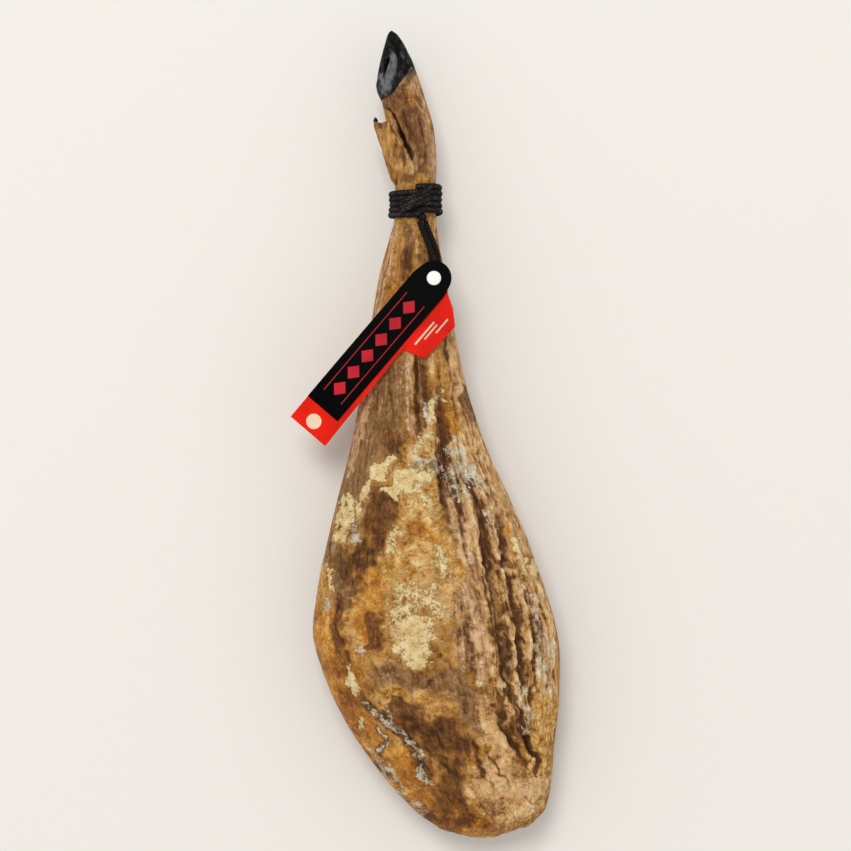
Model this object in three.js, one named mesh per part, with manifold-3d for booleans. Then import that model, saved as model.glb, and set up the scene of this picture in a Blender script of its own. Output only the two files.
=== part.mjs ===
// A whole dry-cured ham on the bone, lying on its skin side: the meat with its rind, shank and foot,
// two black claws, a dried dewclaw, the black rope wound round the shank, and the label cards that hang
// from the rope by two strands and a plastic snap.
//
// Millimetres. +Y runs up the leg to the claws, +X across it, +Z up. The table is z = 0, and the origin
// is the middle of the floor that the ham and its label cover.

import * as THREE from "three";
import { mergeVertices } from "three/addons/utils/BufferGeometryUtils.js";
import Module from "manifold-3d";

const wasm = await Module();
wasm.setup();

const GAP = 0.3; // between pieces that touch

// Outline and girth of the ham. Each station is a slice across the leg, from the hip end to the coronet:
// its two edges on the outline, the heights of its top and underside, and of its widest line between.
const station = (left, right, top, rim, under) => ({ left, right, top, rim, under });
const HAM = [
  station([57, -404], [57, -404], 50, 50, 50), // hip end
  station([37, -400], [78, -400], 65, 49, 34),
  station([8, -390], [103, -390], 79, 48, 21),
  station([-12, -376], [119, -377], 88, 48, 12),
  station([-43, -342], [126, -352], 101, 48, 5),
  station([-74, -298], [129, -312], 110, 50, 0), // aitch bone
  station([-97, -252], [134, -262], 117, 52, -3),
  station([-112, -203], [134, -214], 121, 53, -4), // the thickest part of the thigh
  station([-109, -162], [124, -168], 121, 54, -4),
  station([-100, -116], [107, -120], 118, 55, -3),
  station([-88, -66], [86, -68], 112, 56, 0),
  station([-75, -14], [62, -16], 105, 57, 8),
  station([-64, 44], [42, 44], 97, 58, 18), // stifle, where the thigh ends
  station([-55, 104], [29, 104], 91, 59, 27),
  station([-46, 158], [20, 158], 86, 60, 34), // hock
  station([-37, 192], [13.5, 192], 81, 59.5, 38),
  station([-30.6, 216], [11, 216], 77.2, 58.4, 39.3), // cinched in by the rope
  station([-30.2, 246], [10.2, 246], 75.7, 56.7, 37.7),
  station([-35, 276], [11, 276], 74, 55.5, 37),
  station([-38, 304], [8, 308], 71, 53, 35),
  station([-42, 326], [-1, 339], 68.5, 51, 33.5),
  station([-44, 334], [-10, 366], 67, 50, 33), // coronet, where the claws begin
];
const UPPER_SQUARENESS = 2.2; // exponents of the slices' rounded outline, 2 for an ellipse
const LOWER_SQUARENESS = 2.1;
const ALONG = 86; // facets along the leg, over the shown side and over the underside
const OVER = 28;
const BENEATH = 12;

// Folds and ridges of the shown side: a line down the leg, how deep it sinks and how wide it is.
// A negative depth stands proud.
const fold = (depth, width, ...line) => ({ depth, width, line });
const FOLDS = [
  fold(7, 7, [11, 42], [15, 9], [16, -21], [18, -49], [21, -86], [30, -126]), // centre seam
  fold(9, 7, [45, -36], [53, -76], [59, -111], [66, -156], [75, -196], [83, -236], [90, -270], [105, -311]),
  fold(7, 6, [72, -86], [79, -126], [85, -166], [91, -206], [99, -246], [103, -266]), // outer flank
  fold(8, 7, [69, -256], [75, -278], [87, -304], [97, -322], [106, -336]), // beside the aitch bone
  fold(4, 6, [31, 4], [37, -36], [44, -70]),
  fold(4, 9, [-25, -271], [0, -301], [25, -318]), // under the cushion of the thigh
  fold(3, 9, [-65, -241], [-45, -266], [-20, -291], [-7, -321], [3, -346]), // rind's cut edge
  fold(4, 7, [-7, 89], [-1, 34], [5, 4]), // beside the shin bone
  fold(-3.5, 6, [-20, 89], [-17, 44], [-16, 4]), // tendon over the shin bone
  fold(4, 5, [22, 104], [31, 82], [38, 54], [42, 24]),
  fold(3.5, 7, [-17, 206], [-15, 172], [-22, 134]),
  fold(4, 6, [-20, 329], [-11, 304], [-5, 274], [-4, 252]), // between the foot's tendons
  fold(6, 4, [-40, 324], [-33, 312], [-27, 298], [-14, 277], [-8, 266]), // slit behind the dewclaw's skin
  fold(-4, 13, [80, -46], [105, -126], [118, -206], [122, -266]), // fat along the flank
];

// Swellings and hollows: centre, half length along and across its own axis, the axis's lean, and height.
const mound = (height, x, y, across, along, lean) => ({ height, x, y, across, along, lean });
const MOUNDS = [
  mound(6, -13, -176, 45, 90, 0), // cushion
  mound(7, 80, -336, 34, 50, 20), // aitch bone
  mound(3, -20, -46, 30, 30, 0),
  mound(-5, -60, -96, 18, 45, -30), // hollow beside the cushion
  mound(-6, 3, -298, 20, 30, 60), // hollow below the cushion
  mound(3, -90, -206, 20, 60, 0),
];

// Dried skin of the dewclaw: a tongue that leaves the back of the foot and ends in two prongs.
const DEWCLAW_SKIN = [
  station([-24, 240], [-4, 240], 66, 60, 54),
  station([-34, 254], [-9, 256], 72, 61, 48),
  station([-40, 272], [-14, 271], 77, 63, 47),
  station([-46, 291], [-23, 289], 78, 64, 48),
  station([-51, 305], [-31, 303], 76, 64, 50),
  station([-51.6, 310.8], [-36, 312], 73, 64, 53),
];
const DEWCLAW_NOTCH = { x: -43.4, y: 312.6, across: 4.2, along: 6.4, lean: 12 };
const DEWCLAW_HORN = { x: -49.4, y: 311.4, z: 64, radius: 2.4, height: 4.6 };

// One claw, from the coronet to the toe: heel or sole edge, front edge, and heights above the cleft.
const CLAW = [
  station([-44.4, 334.5], [-10.3, 366.6], 17, 3, 0),
  station([-49, 346], [-13.5, 374.5], 18, 4, 0),
  station([-48, 357], [-17.5, 382.5], 17, 4, 0),
  station([-45, 373], [-22, 391.5], 14, 3.5, 0),
  station([-41, 389], [-27.5, 399.5], 9.5, 3, 0.5),
  station([-37.5, 400], [-32, 403], 5, 2.7, 1.4),
  station([-34.3, 404.3], [-34.3, 404.3], 2.5, 2.5, 2.5), // toe
];
const CLEFT = { height: 50, halfGap: 0.8 }; // the slot between the two claws
const SOLE_HOLLOW = { x: -40, y: 366, z: 15, across: 3.4, along: 13, deep: 7, lean: -15 };

// Rope wound tight round the shank, with one turn crossed over the others and knotted.
const ROPE_RADIUS = 3.3;
const WRAP = { turns: 5, from: 216.5, to: 246.5, slant: 1.2 };
const CROSSING = { from: 130, to: 50, over: 1.4 }; // degrees round the shank, and how far it rides up
const KNOT = { x: -7, y: 219, z: 83, radius: 6.2 };

// The two strands from the knot to the snap, each a point list along its middle.
const STRAND_RADIUS = 2.9;
const STRANDS = {
  tag_strand_near: [
    [-6.4, 211, 84.2],
    [-3.7, 205, 83.1],
    [-0.5, 197, 83],
    [3.3, 187, 83.2],
    [6.1, 178, 83.7],
    [7.5, 167.5, 84.6],
  ],
  tag_strand_far: [
    [-0.3, 211.5, 81.6],
    [2.4, 204, 79.8],
    [6, 195, 79.7],
    [9.8, 185, 80],
    [12.4, 176, 80.6],
    [13.2, 166.5, 81.6],
  ],
};

// Label cards, in a frame of their own: s down the card from the snap, w across it to the right.
const SNAP = { x: 8.5, y: 153.9 };
const CARD_ANGLE = Math.atan2(-0.7605, -0.6493); // the way the cards point, from the snap
const CARD = { thick: 0.5, spacing: 1, base: 89.8, rise: 0.045, roll: 0.09, droopFrom: 80, droop: 0.0011, facet: 17 };
const HOLE_RADIUS = 3.2;
const HEAD_RADIUS = 17.4;
const BLACK_CARD = { end: 169.2, half: 19.4 };
const RED_CARD = { end: 195.9, left: -19.2, right: 26, narrow: 22.5 };
const SIDE_CARD = [
  [73.5, 24],
  [66, 45],
  [23, 47.2],
  [10, 33],
  [3.8, 22],
  [-3, 13],
  [-11, 6],
  [-11, -6],
  [6, -13],
  [72, -10],
];
const SNAP_HEAD = { radius: 7.1, height: 1.4 };
const SNAP_BARREL = { radius: 5.6, post: 2.7, height: 4.6 };

// Point t of the even Catmull-Rom curve through a row of numbers, with t from 0 to 1.
function along(values, t) {
  const last = values.length - 1;
  const at = Math.min(Math.floor(t * last), last - 1);
  const u = t * last - at;
  const p1 = values[at];
  const p2 = values[at + 1];
  const p0 = at > 0 ? values[at - 1] : 2 * p1 - p2;
  const p3 = at + 2 <= last ? values[at + 2] : 2 * p2 - p1;
  const linear = (p2 - p0) * u;
  const square = (2 * p0 - 5 * p1 + 4 * p2 - p3) * u * u;
  const cube = (3 * p1 - p0 - 3 * p2 + p3) * u * u * u;
  return (2 * p1 + linear + square + cube) / 2;
}

const smooth = (low, high, x) => THREE.MathUtils.smoothstep(x, low, high);

// A point of a loft: t along it, and the angle round the slice, 0 at the right edge and 90 degrees on top.
function slicePoint(stations, t, angle, upper, lower) {
  const value = (read) => along(stations.map(read), t);
  const [lx, ly] = [value((s) => s.left[0]), value((s) => s.left[1])];
  const [rx, ry] = [value((s) => s.right[0]), value((s) => s.right[1])];
  const over = Math.sin(angle) >= 0;
  const power = 2 / (over ? upper : lower);
  const across = Math.sign(Math.cos(angle)) * Math.abs(Math.cos(angle)) ** power;
  const rise = Math.abs(Math.sin(angle)) ** power;
  const rim = value((s) => s.rim);
  const far = over ? value((s) => s.top) : value((s) => s.under);
  return new THREE.Vector3(
    (lx + rx + across * (rx - lx)) / 2,
    (ly + ry + across * (ry - ly)) / 2,
    rim + (far - rim) * rise,
  );
}

// Closed mesh between slices: rings of points joined by quads, with a point or a flat cap at each end.
function ringsToGeometry(rings) {
  const count = rings[0].length;
  const middle = (ring) => ring.reduce((sum, p) => sum.add(p), new THREE.Vector3()).divideScalar(count);
  const points = [middle(rings[0]), ...rings.flat(), middle(rings[rings.length - 1])];
  const at = (ring, k) => 1 + ring * count + (k % count);
  const faces = [];
  for (let k = 0; k < count; k += 1) {
    faces.push(0, at(0, k), at(0, k + 1));
    for (let ring = 0; ring < rings.length - 1; ring += 1) {
      faces.push(at(ring, k), at(ring + 1, k), at(ring + 1, k + 1));
      faces.push(at(ring, k), at(ring + 1, k + 1), at(ring, k + 1));
    }
    faces.push(points.length - 1, at(rings.length - 1, k + 1), at(rings.length - 1, k));
  }
  return new THREE.BufferGeometry().setFromPoints(points).setIndex(faces);
}

// How far a place on the shown side stands out from the plain girth.
function relief(x, y) {
  const here = new THREE.Vector2(x, y);
  let height = 0;
  for (const { depth, width, curve } of FOLD_CURVES) {
    let nearest = Infinity;
    let where = 0;
    curve.forEach((p, k) => {
      const distance = p.distanceTo(here);
      if (distance < nearest) [nearest, where] = [distance, k / (curve.length - 1)];
    });
    const ends = Math.sin(Math.PI * (0.08 + 0.84 * where)); // each fold runs out at both ends
    height -= depth * ends * Math.exp(-((nearest / width) ** 2));
  }
  for (const m of MOUNDS) {
    const turned = new THREE.Vector2(x - m.x, y - m.y).rotateAround(new THREE.Vector2(), (m.lean * Math.PI) / 180);
    height += m.height * Math.exp(-((turned.x / m.across) ** 2) - (turned.y / m.along) ** 2);
  }
  return height;
}

const FOLD_CURVES = FOLDS.map(({ depth, width, line }) => ({
  depth,
  width,
  curve: new THREE.SplineCurve(line.map(([x, y]) => new THREE.Vector2(x, y))).getPoints(8 * line.length),
}));

// Angles round a slice, from the right edge over the top and back beneath.
function sliceAngles(over, beneath) {
  const top = Array.from({ length: over }, (_, k) => (Math.PI * k) / over);
  const bottom = Array.from({ length: beneath }, (_, k) => Math.PI + (Math.PI * k) / beneath);
  return [...top, ...bottom];
}

// The meat, rind, shank and foot, with the folds sunk along the surface's own normal. What would reach
// below the table is pressed flat, as a ham's skin side is.
function hamGeometry() {
  const angles = sliceAngles(OVER, BENEATH);
  const step = 1e-3;
  const at = (t, angle) => slicePoint(HAM, t, angle, UPPER_SQUARENESS, LOWER_SQUARENESS);
  const rings = [];
  for (let ring = 1; ring <= ALONG; ring += 1) {
    const t = ring / ALONG;
    rings.push(
      angles.map((angle) => {
        const p = at(t, angle);
        const inner = Math.min(t, 1 - step);
        const down = at(inner + step, angle).sub(at(inner - step, angle));
        const round = at(t, angle + step).sub(at(t, angle - step));
        const normal = round.cross(down).normalize();
        const shown = smooth(0, 0.4, Math.sin(angle)) * (1 - smooth(0.97, 1, t)) * ropeClear(p.y);
        p.addScaledVector(normal, -relief(p.x, p.y) * shown);
        p.z = Math.max(p.z, 0);
        return p;
      }),
    );
  }
  return ringsToGeometry(rings);
}

// 0 under the rope, where the shank keeps its plain girth, and 1 away from it.
function ropeClear(y) {
  const middle = (WRAP.from + WRAP.to) / 2;
  const reach = (WRAP.to - WRAP.from) / 2 + ROPE_RADIUS;
  return smooth(reach, reach + 12, Math.abs(y - middle));
}

function loftGeometry(stations, ringCount, over, beneath, upper, lower) {
  const angles = sliceAngles(over, beneath);
  const rings = Array.from({ length: ringCount }, (_, ring) =>
    angles.map((angle) => slicePoint(stations, ring / (ringCount - 1), angle, upper, lower)),
  );
  return ringsToGeometry(rings);
}

// Closed geometry to a solid for joining and cutting, and back.
function solid(geometry) {
  const bare = geometry.index ? geometry.toNonIndexed() : geometry;
  const positions = new THREE.BufferGeometry().setAttribute("position", bare.getAttribute("position"));
  const merged = mergeVertices(positions, 1e-3);
  const made = new wasm.Manifold(
    new wasm.Mesh({
      numProp: 3,
      vertProperties: merged.attributes.position.array,
      triVerts: new Uint32Array(merged.index.array),
    }),
  );
  if (made.volume() > 0) return made;
  const turned = merged.index.array;
  for (let i = 0; i < turned.length; i += 3) [turned[i], turned[i + 1]] = [turned[i + 1], turned[i]];
  return new wasm.Manifold(
    new wasm.Mesh({
      numProp: 3,
      vertProperties: merged.attributes.position.array,
      triVerts: new Uint32Array(turned),
    }),
  );
}

function geometryOf(made) {
  const { vertProperties, triVerts } = made.getMesh();
  const geometry = new THREE.BufferGeometry();
  geometry.setAttribute("position", new THREE.BufferAttribute(vertProperties, 3));
  geometry.setIndex(new THREE.BufferAttribute(triVerts, 1));
  geometry.computeVertexNormals();
  return geometry;
}

// The foot's dried dewclaw skin, with the notch between its prongs.
function dewclawSkin() {
  const tongue = solid(loftGeometry(DEWCLAW_SKIN, 22, 10, 8, 2.6, 2.6));
  const { x, y, across, along: length, lean } = DEWCLAW_NOTCH;
  const cutter = new THREE.CylinderGeometry(1, 1, 60, 20).rotateX(Math.PI / 2);
  cutter.scale(across, length, 1).rotateZ((lean * Math.PI) / 180).translate(x, y, 62);
  return tongue.subtract(solid(cutter));
}

function hamSolid() {
  return solid(hamGeometry()).add(dewclawSkin());
}

// The horn tip on the dewclaw's outer prong: a small blunt cone, leaning with the skin.
function dewclawHorn() {
  const { x, y, z, radius, height } = DEWCLAW_HORN;
  const profile = [
    [0, 0],
    [radius, 0],
    [radius * 0.9, height * 0.45],
    [radius * 0.45, height * 0.86],
    [0, height],
  ].map(([r, h]) => new THREE.Vector2(r, h));
  const horn = new THREE.LatheGeometry(profile, 16).scale(1, 1, 2);
  return solid(horn.rotateZ(0.12).translate(x, y, z));
}

// One claw stands over the cleft and the other is its mirror image beneath it.
function clawSolid(side) {
  const claw = solid(loftGeometry(CLAW, 16, 11, 5, 2.4, 5));
  const { x, y, z, across, along: length, deep, lean } = SOLE_HOLLOW;
  const hollow = new THREE.SphereGeometry(1, 14, 10).scale(across, length, deep);
  hollow.rotateZ((lean * Math.PI) / 180).translate(x, y, z);
  const cut = claw.subtract(solid(hollow));
  const raised = cut.translate(0, 0, CLEFT.halfGap);
  const turned = side > 0 ? raised : raised.mirror([0, 0, 1]);
  return turned.translate(0, 0, CLEFT.height);
}

// A round tube along a curve, with closed ends.
function tube(points, radius, steps, sides) {
  const circle = new THREE.Shape();
  for (let k = 0; k < sides; k += 1) {
    const angle = (2 * Math.PI * k) / sides;
    circle[k ? "lineTo" : "moveTo"](radius * Math.cos(angle), radius * Math.sin(angle));
  }
  const path = new THREE.CatmullRomCurve3(points.map((p) => new THREE.Vector3(...p)));
  return new THREE.ExtrudeGeometry(circle, { steps, bevelEnabled: false, extrudePath: path });
}

// The slice of the shank that lies at y, found by halving the stretch that holds it.
function shankSlice(y) {
  let [low, high] = [0.6, 1];
  for (let k = 0; k < 24; k += 1) {
    const t = (low + high) / 2;
    if (along(HAM.map((s) => s.left[1]), t) < y) low = t;
    else high = t;
  }
  return (low + high) / 2;
}

// A place off the shank's skin, at y along the leg and at an angle round it.
function offShank(y, angle, lift) {
  const t = shankSlice(y);
  const at = (a) => slicePoint(HAM, t, a, UPPER_SQUARENESS, LOWER_SQUARENESS);
  const p = at(angle);
  const round = at(angle + 0.02).sub(at(angle - 0.02)).normalize();
  return [p.x + round.z * lift, y, p.z - round.x * lift];
}

// Five turns side by side, one strand crossed over them, and the knot it ends in.
function ropeSolid() {
  const perTurn = 18;
  const lift = ROPE_RADIUS + 2.5 * GAP; // the rope's facets cut inside its round
  const turns = Array.from({ length: WRAP.turns * perTurn + 1 }, (_, k) => {
    const share = k / (WRAP.turns * perTurn);
    const angle = 2 * Math.PI * WRAP.turns * share + Math.PI / 2;
    const y = WRAP.from + (WRAP.to - WRAP.from) * share + WRAP.slant * Math.cos(angle);
    return offShank(y, angle, lift);
  });
  const crossing = Array.from({ length: 9 }, (_, k) => {
    const share = k / 8;
    const angle = THREE.MathUtils.degToRad(CROSSING.from + (CROSSING.to - CROSSING.from) * share);
    const y = WRAP.from + (WRAP.to - WRAP.from) * share;
    return offShank(y, angle, lift + CROSSING.over * ROPE_RADIUS * Math.sin(Math.PI * share));
  });
  const knot = new THREE.SphereGeometry(KNOT.radius, 14, 8).scale(1, 0.9, 0.72);
  knot.translate(KNOT.x, KNOT.y, KNOT.z);
  return solid(tube(turns, ROPE_RADIUS, turns.length - 1, 8))
    .add(solid(tube(crossing, ROPE_RADIUS, 10, 8)))
    .add(solid(knot));
}

// A card's height above the table: it slopes up the thigh, rolls with it, and its free end droops.
function cardHeight(s, w) {
  const beyond = Math.max(0, s - CARD.droopFrom);
  return CARD.base + CARD.rise * s + CARD.roll * w - CARD.droop * beyond * beyond;
}

// Cuts a flat card with a hole for the snap, drawn with s along x and w along y, and lays it on the ham.
function laidCard(corners, level) {
  const shape = new THREE.Shape(corners.map(([s, w]) => new THREE.Vector2(s, w)));
  const hole = new THREE.Path();
  hole.absarc(0, 0, HOLE_RADIUS, 0, 2 * Math.PI, true);
  shape.holes.push(hole);
  const flat = new THREE.ExtrudeGeometry(shape, { depth: CARD.thick, bevelEnabled: false, curveSegments: 6 });
  const [cos, sin] = [Math.cos(CARD_ANGLE), Math.sin(CARD_ANGLE)];
  return solid(flat)
    .refineToLength(CARD.facet)
    .warp((p) => {
      const [s, w, h] = p;
      p[0] = SNAP.x + s * cos - w * sin;
      p[1] = SNAP.y + s * sin + w * cos;
      p[2] = cardHeight(s, w) + level * CARD.spacing + h;
    });
}

// Points of the round head about the snap, from one angle to another.
function headArc(radius, from, to, parts) {
  return Array.from({ length: parts + 1 }, (_, k) => {
    const angle = from + ((to - from) * k) / parts;
    return [radius * Math.cos(angle), radius * Math.sin(angle)];
  });
}

function blackCard() {
  const { end, half } = BLACK_CARD;
  const head = headArc(HEAD_RADIUS, Math.PI * 0.58, Math.PI * 1.42, 14);
  return laidCard([[end, -half], [end, half], [7, half], ...head, [7, -half]], 2);
}

function redCard() {
  const { end, left, right, narrow } = RED_CARD;
  const head = headArc(HEAD_RADIUS - 3, Math.PI * 0.6, Math.PI * 1.4, 10);
  return laidCard([[end, left], [end, right], [60, narrow], [9, 14], ...head, [9, -14], [60, left]], 1);
}

// The snap that holds the cards: a flat head, a post through their holes, and a barrel beneath.
function snapGeometry() {
  const top = 2 * CARD.spacing + CARD.thick + GAP;
  const bottom = -GAP;
  const profile = [
    [0, bottom - SNAP_BARREL.height],
    [SNAP_BARREL.radius, bottom - SNAP_BARREL.height],
    [SNAP_BARREL.radius, bottom],
    [SNAP_BARREL.post, bottom],
    [SNAP_BARREL.post, top],
    [SNAP_HEAD.radius, top],
    [SNAP_HEAD.radius, top + SNAP_HEAD.height * 0.5],
    [SNAP_HEAD.radius - 0.8, top + SNAP_HEAD.height],
    [0, top + SNAP_HEAD.height],
  ].map(([r, z]) => new THREE.Vector2(r, z));
  const snap = new THREE.LatheGeometry(profile, 20).rotateX(Math.PI / 2);
  snap.rotateZ(CARD_ANGLE);
  const place = snap.getAttribute("position");
  for (let k = 0; k < place.count; k += 1) {
    const [x, y] = [place.getX(k), place.getY(k)];
    const s = x * Math.cos(CARD_ANGLE) + y * Math.sin(CARD_ANGLE);
    const w = y * Math.cos(CARD_ANGLE) - x * Math.sin(CARD_ANGLE);
    place.setXYZ(k, x + SNAP.x, y + SNAP.y, place.getZ(k) + cardHeight(s, w));
  }
  return snap;
}

const finish = (color, roughness) => new THREE.MeshStandardMaterial({ color, roughness, metalness: 0 });
const RIND = finish(0x9a6430, 0.55);
const HORN = finish(0x17171b, 0.35);
const ROPE = finish(0x1c1a1c, 0.9);
const BLACK = finish(0x070708, 0.5);
const RED = finish(0xdd1f12, 0.5);
const WHITE = finish(0xf0eee9, 0.45);

const ham = new THREE.Group();

function addPiece(name, geometry, material) {
  const mesh = new THREE.Mesh(geometry, material);
  mesh.name = name;
  ham.add(mesh);
}

addPiece("ham", geometryOf(hamSolid()), RIND);
addPiece("claw_near", geometryOf(clawSolid(1)), HORN);
addPiece("claw_far", geometryOf(clawSolid(-1)), HORN);
addPiece("dewclaw", geometryOf(dewclawHorn()), HORN);
addPiece("rope_wrap", geometryOf(ropeSolid()), ROPE);
for (const [name, points] of Object.entries(STRANDS)) {
  addPiece(name, geometryOf(solid(tube(points, STRAND_RADIUS, 6, 10))), ROPE);
}
addPiece("card_black", geometryOf(blackCard()), BLACK);
addPiece("card_red", geometryOf(redCard()), RED);
addPiece("card_side", geometryOf(laidCard(SIDE_CARD, 0)), RED);
addPiece("card_snap", geometryOf(solid(snapGeometry())), WHITE);

export default ham;
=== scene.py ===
import math

import bpy
import numpy as np
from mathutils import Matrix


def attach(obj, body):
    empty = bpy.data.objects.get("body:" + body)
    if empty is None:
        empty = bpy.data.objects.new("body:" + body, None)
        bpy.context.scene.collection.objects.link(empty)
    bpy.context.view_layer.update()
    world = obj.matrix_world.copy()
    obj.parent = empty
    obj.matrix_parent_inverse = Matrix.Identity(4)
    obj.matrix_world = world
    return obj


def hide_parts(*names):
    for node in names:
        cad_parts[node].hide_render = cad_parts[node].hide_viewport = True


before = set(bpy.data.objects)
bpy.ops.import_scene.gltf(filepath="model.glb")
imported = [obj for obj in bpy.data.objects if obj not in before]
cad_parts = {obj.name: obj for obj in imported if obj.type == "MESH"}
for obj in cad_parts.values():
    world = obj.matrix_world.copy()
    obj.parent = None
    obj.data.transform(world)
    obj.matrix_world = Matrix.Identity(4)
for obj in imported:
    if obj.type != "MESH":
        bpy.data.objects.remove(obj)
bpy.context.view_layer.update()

# The table, the studio and the camera.
# The ham lies on a pale table and is seen straight from above, as the photograph sees its shown side.
# Lengths in this file are in millimetres until a mesh is made, as the ham's own sizes are.
METRES = 0.001
PHOTO_SPAN = 851.0  # what the picture spans at the height of the shank
PHOTO_CENTRE = (0.2, 8.5)
CAMERA_HEIGHT = 2500.0
SHANK_HEIGHT = 58.0
SKY_STRENGTH = 0.72
WINDOW_PLACE = (-0.9, 2.4, 6.2)  # in metres, as the next two
WINDOW_SIZE = 2.2
FLOOR_REACH = 6.0
WINDOW_POWER = 184.0


def srgb(red, green, blue):
    """The linear colour of an 8-bit screen colour: c / 12.92 near black, and above that
    ((c + 0.055) / 1.055) ** 2.4."""
    shares = np.array([red, green, blue]) / 255
    linear = np.where(shares <= 0.04045, shares / 12.92, ((shares + 0.055) / 1.055) ** 2.4)
    return (*linear.tolist(), 1.0)


def paint(name, roughness=0.5):
    """A new material, with its node tree and its shader."""
    material = bpy.data.materials.new(name)
    material.use_nodes = True
    tree = material.node_tree
    shader = tree.nodes["Principled BSDF"]
    shader.inputs["Roughness"].default_value = roughness
    return material, tree, shader


camera = bpy.data.cameras.new("camera")
camera.lens = camera.sensor_width * CAMERA_HEIGHT / PHOTO_SPAN
camera.dof.use_dof = False
camera_object = bpy.data.objects.new("camera", camera)
camera_object.location = (
    PHOTO_CENTRE[0] * METRES,
    PHOTO_CENTRE[1] * METRES,
    (CAMERA_HEIGHT + SHANK_HEIGHT) * METRES,
)
bpy.context.scene.collection.objects.link(camera_object)
bpy.context.scene.camera = camera_object
bpy.context.scene.view_settings.view_transform = "Standard"

world = bpy.data.worlds.new("studio")
world.use_nodes = True
world.node_tree.nodes["Background"].inputs["Color"].default_value = (1.0, 1.0, 1.0, 1.0)
world.node_tree.nodes["Background"].inputs["Strength"].default_value = SKY_STRENGTH
bpy.context.scene.world = world

window = bpy.data.lights.new("window", "AREA")
window.shape = "RECTANGLE"
window.size = WINDOW_SIZE
window.size_y = WINDOW_SIZE
window.energy = WINDOW_POWER
window_object = bpy.data.objects.new("window", window)
window_object.location = WINDOW_PLACE
window_object.rotation_euler = (-window_object.location).to_track_quat("-Z", "Y").to_euler()
bpy.context.scene.collection.objects.link(window_object)

floor_mesh = bpy.data.meshes.new("table")
floor_mesh.from_pydata(
    [(x * FLOOR_REACH, y * FLOOR_REACH, 0.0) for x, y in ((-1, -1), (1, -1), (1, 1), (-1, 1))],
    [],
    [(0, 1, 2, 3)],
)
floor = bpy.data.objects.new("table", floor_mesh)
bpy.context.scene.collection.objects.link(floor)
table_paint, _, table_shader = paint("table", 0.9)
table_shader.inputs["Base Color"].default_value = srgb(233, 229, 222)
table_shader.inputs["Specular IOR Level"].default_value = 0.1
floor_mesh.materials.append(table_paint)


# The ham: rind, fat and dried meat over the bones, with the shank and the foot.
# A hind leg, salted, hung and dried for years, so that its skin side is leathery, its shown side has
# deep folds and cracks, and mould and crusts of fat sit on both. One piece, as it grew.
# Each slice across the leg: left edge x, y, right edge x, y, top, widest line, underside.
SLICES = np.array([
    (57, -404, 57, -404, 50, 50, 50),
    (37, -400, 78, -400, 65, 49, 34),
    (8, -390, 103, -390, 79, 48, 21),
    (-12, -376, 119, -377, 88, 48, 12),
    (-43, -342, 126, -352, 101, 48, 5),
    (-74, -298, 129, -312, 110, 50, 0),
    (-97, -252, 134, -262, 117, 52, -3),
    (-112, -203, 134, -214, 121, 53, -4),
    (-109, -162, 124, -168, 121, 54, -4),
    (-100, -116, 107, -120, 118, 55, -3),
    (-88, -66, 86, -68, 112, 56, 0),
    (-75, -14, 62, -16, 105, 57, 8),
    (-64, 44, 42, 44, 97, 58, 18),
    (-55, 104, 29, 104, 91, 59, 27),
    (-46, 158, 20, 158, 86, 60, 34),
    (-37, 192, 13.5, 192, 81, 59.5, 38),
    (-30.6, 216, 11, 216, 77.2, 58.4, 39.3),
    (-30.2, 246, 10.2, 246, 75.7, 56.7, 37.7),
    (-35, 276, 11, 276, 74, 55.5, 37),
    (-38, 304, 8, 308, 71, 53, 35),
    (-42, 326, -1, 339, 68.5, 51, 33.5),
    (-44, 334, -10, 366, 67, 50, 33),
], dtype=float)
UPPER_SQUARENESS = 2.2
LOWER_SQUARENESS = 2.1
# Rings along the ham, and the places on each over the top and beneath.
RINGS = 440
OVER = 170
BENEATH = 44
# The rope's middle on the shank, how far from it the skin is plain, and where its relief is full again.
ROPE_MIDDLE, PLAIN_HALF, FULL_HALF = 231.5, 18, 31
# The values along each side of a random field's lattice, after which it repeats, and how far in it starts.
LATTICE, LATTICE_START = 48, 1000.0


def smooth(low, high, x):
    """0 below low, 1 above high, and 3 u u - 2 u u u between, where u is the share of the way."""
    u = np.clip((np.asarray(x, dtype=float) - low) / (high - low), 0.0, 1.0)
    return u * u * (3 - 2 * u)


def curve_through(rows, t):
    """Catmull-Rom curve through rows at even steps: the cubic that passes each row with the slope of the line
    from the row before to the row after."""
    last = len(rows) - 1
    ends = [2 * rows[:1] - rows[1:2], rows, 2 * rows[-1:] - rows[-2:-1]]
    padded = np.concatenate(ends)
    at = np.clip(np.floor(t * last).astype(int), 0, last - 1)
    u = (t * last - at)[..., None]
    a, b, c, d = (padded[at + k] for k in range(4))
    return b + 0.5 * u * ((c - a) + u * ((2 * a - 5 * b + 4 * c - d) + u * (3 * b - a - 3 * c + d)))


def slice_points(slices, t, angle, upper, lower):
    """A loft: at t the slice's middle plus half its width times the signed power 2/n of the cosine, and the
    height from its widest line to its top or underside by the same power of the sine."""
    s = curve_through(slices, t)
    cosine, sine = np.cos(angle), np.sin(angle)
    power = np.where(sine >= 0, 2 / upper, 2 / lower)
    across = np.sign(cosine) * np.abs(cosine) ** power
    rise = np.abs(sine) ** power
    middle, half = (s[..., :2] + s[..., 2:4]) / 2, (s[..., 2:4] - s[..., :2]) / 2
    flat = middle + across[..., None] * half
    far = np.where(sine >= 0, s[..., 4], s[..., 6])
    height = s[..., 5] + (far - s[..., 5]) * rise
    return np.concatenate([flat, height[..., None]], axis=-1)


def slice_angles(over, beneath):
    """Angles round a slice: even steps over the top from the right edge, then even steps beneath."""
    return np.concatenate([np.pi * np.arange(over) / over, np.pi + np.pi * np.arange(beneath) / beneath])


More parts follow.
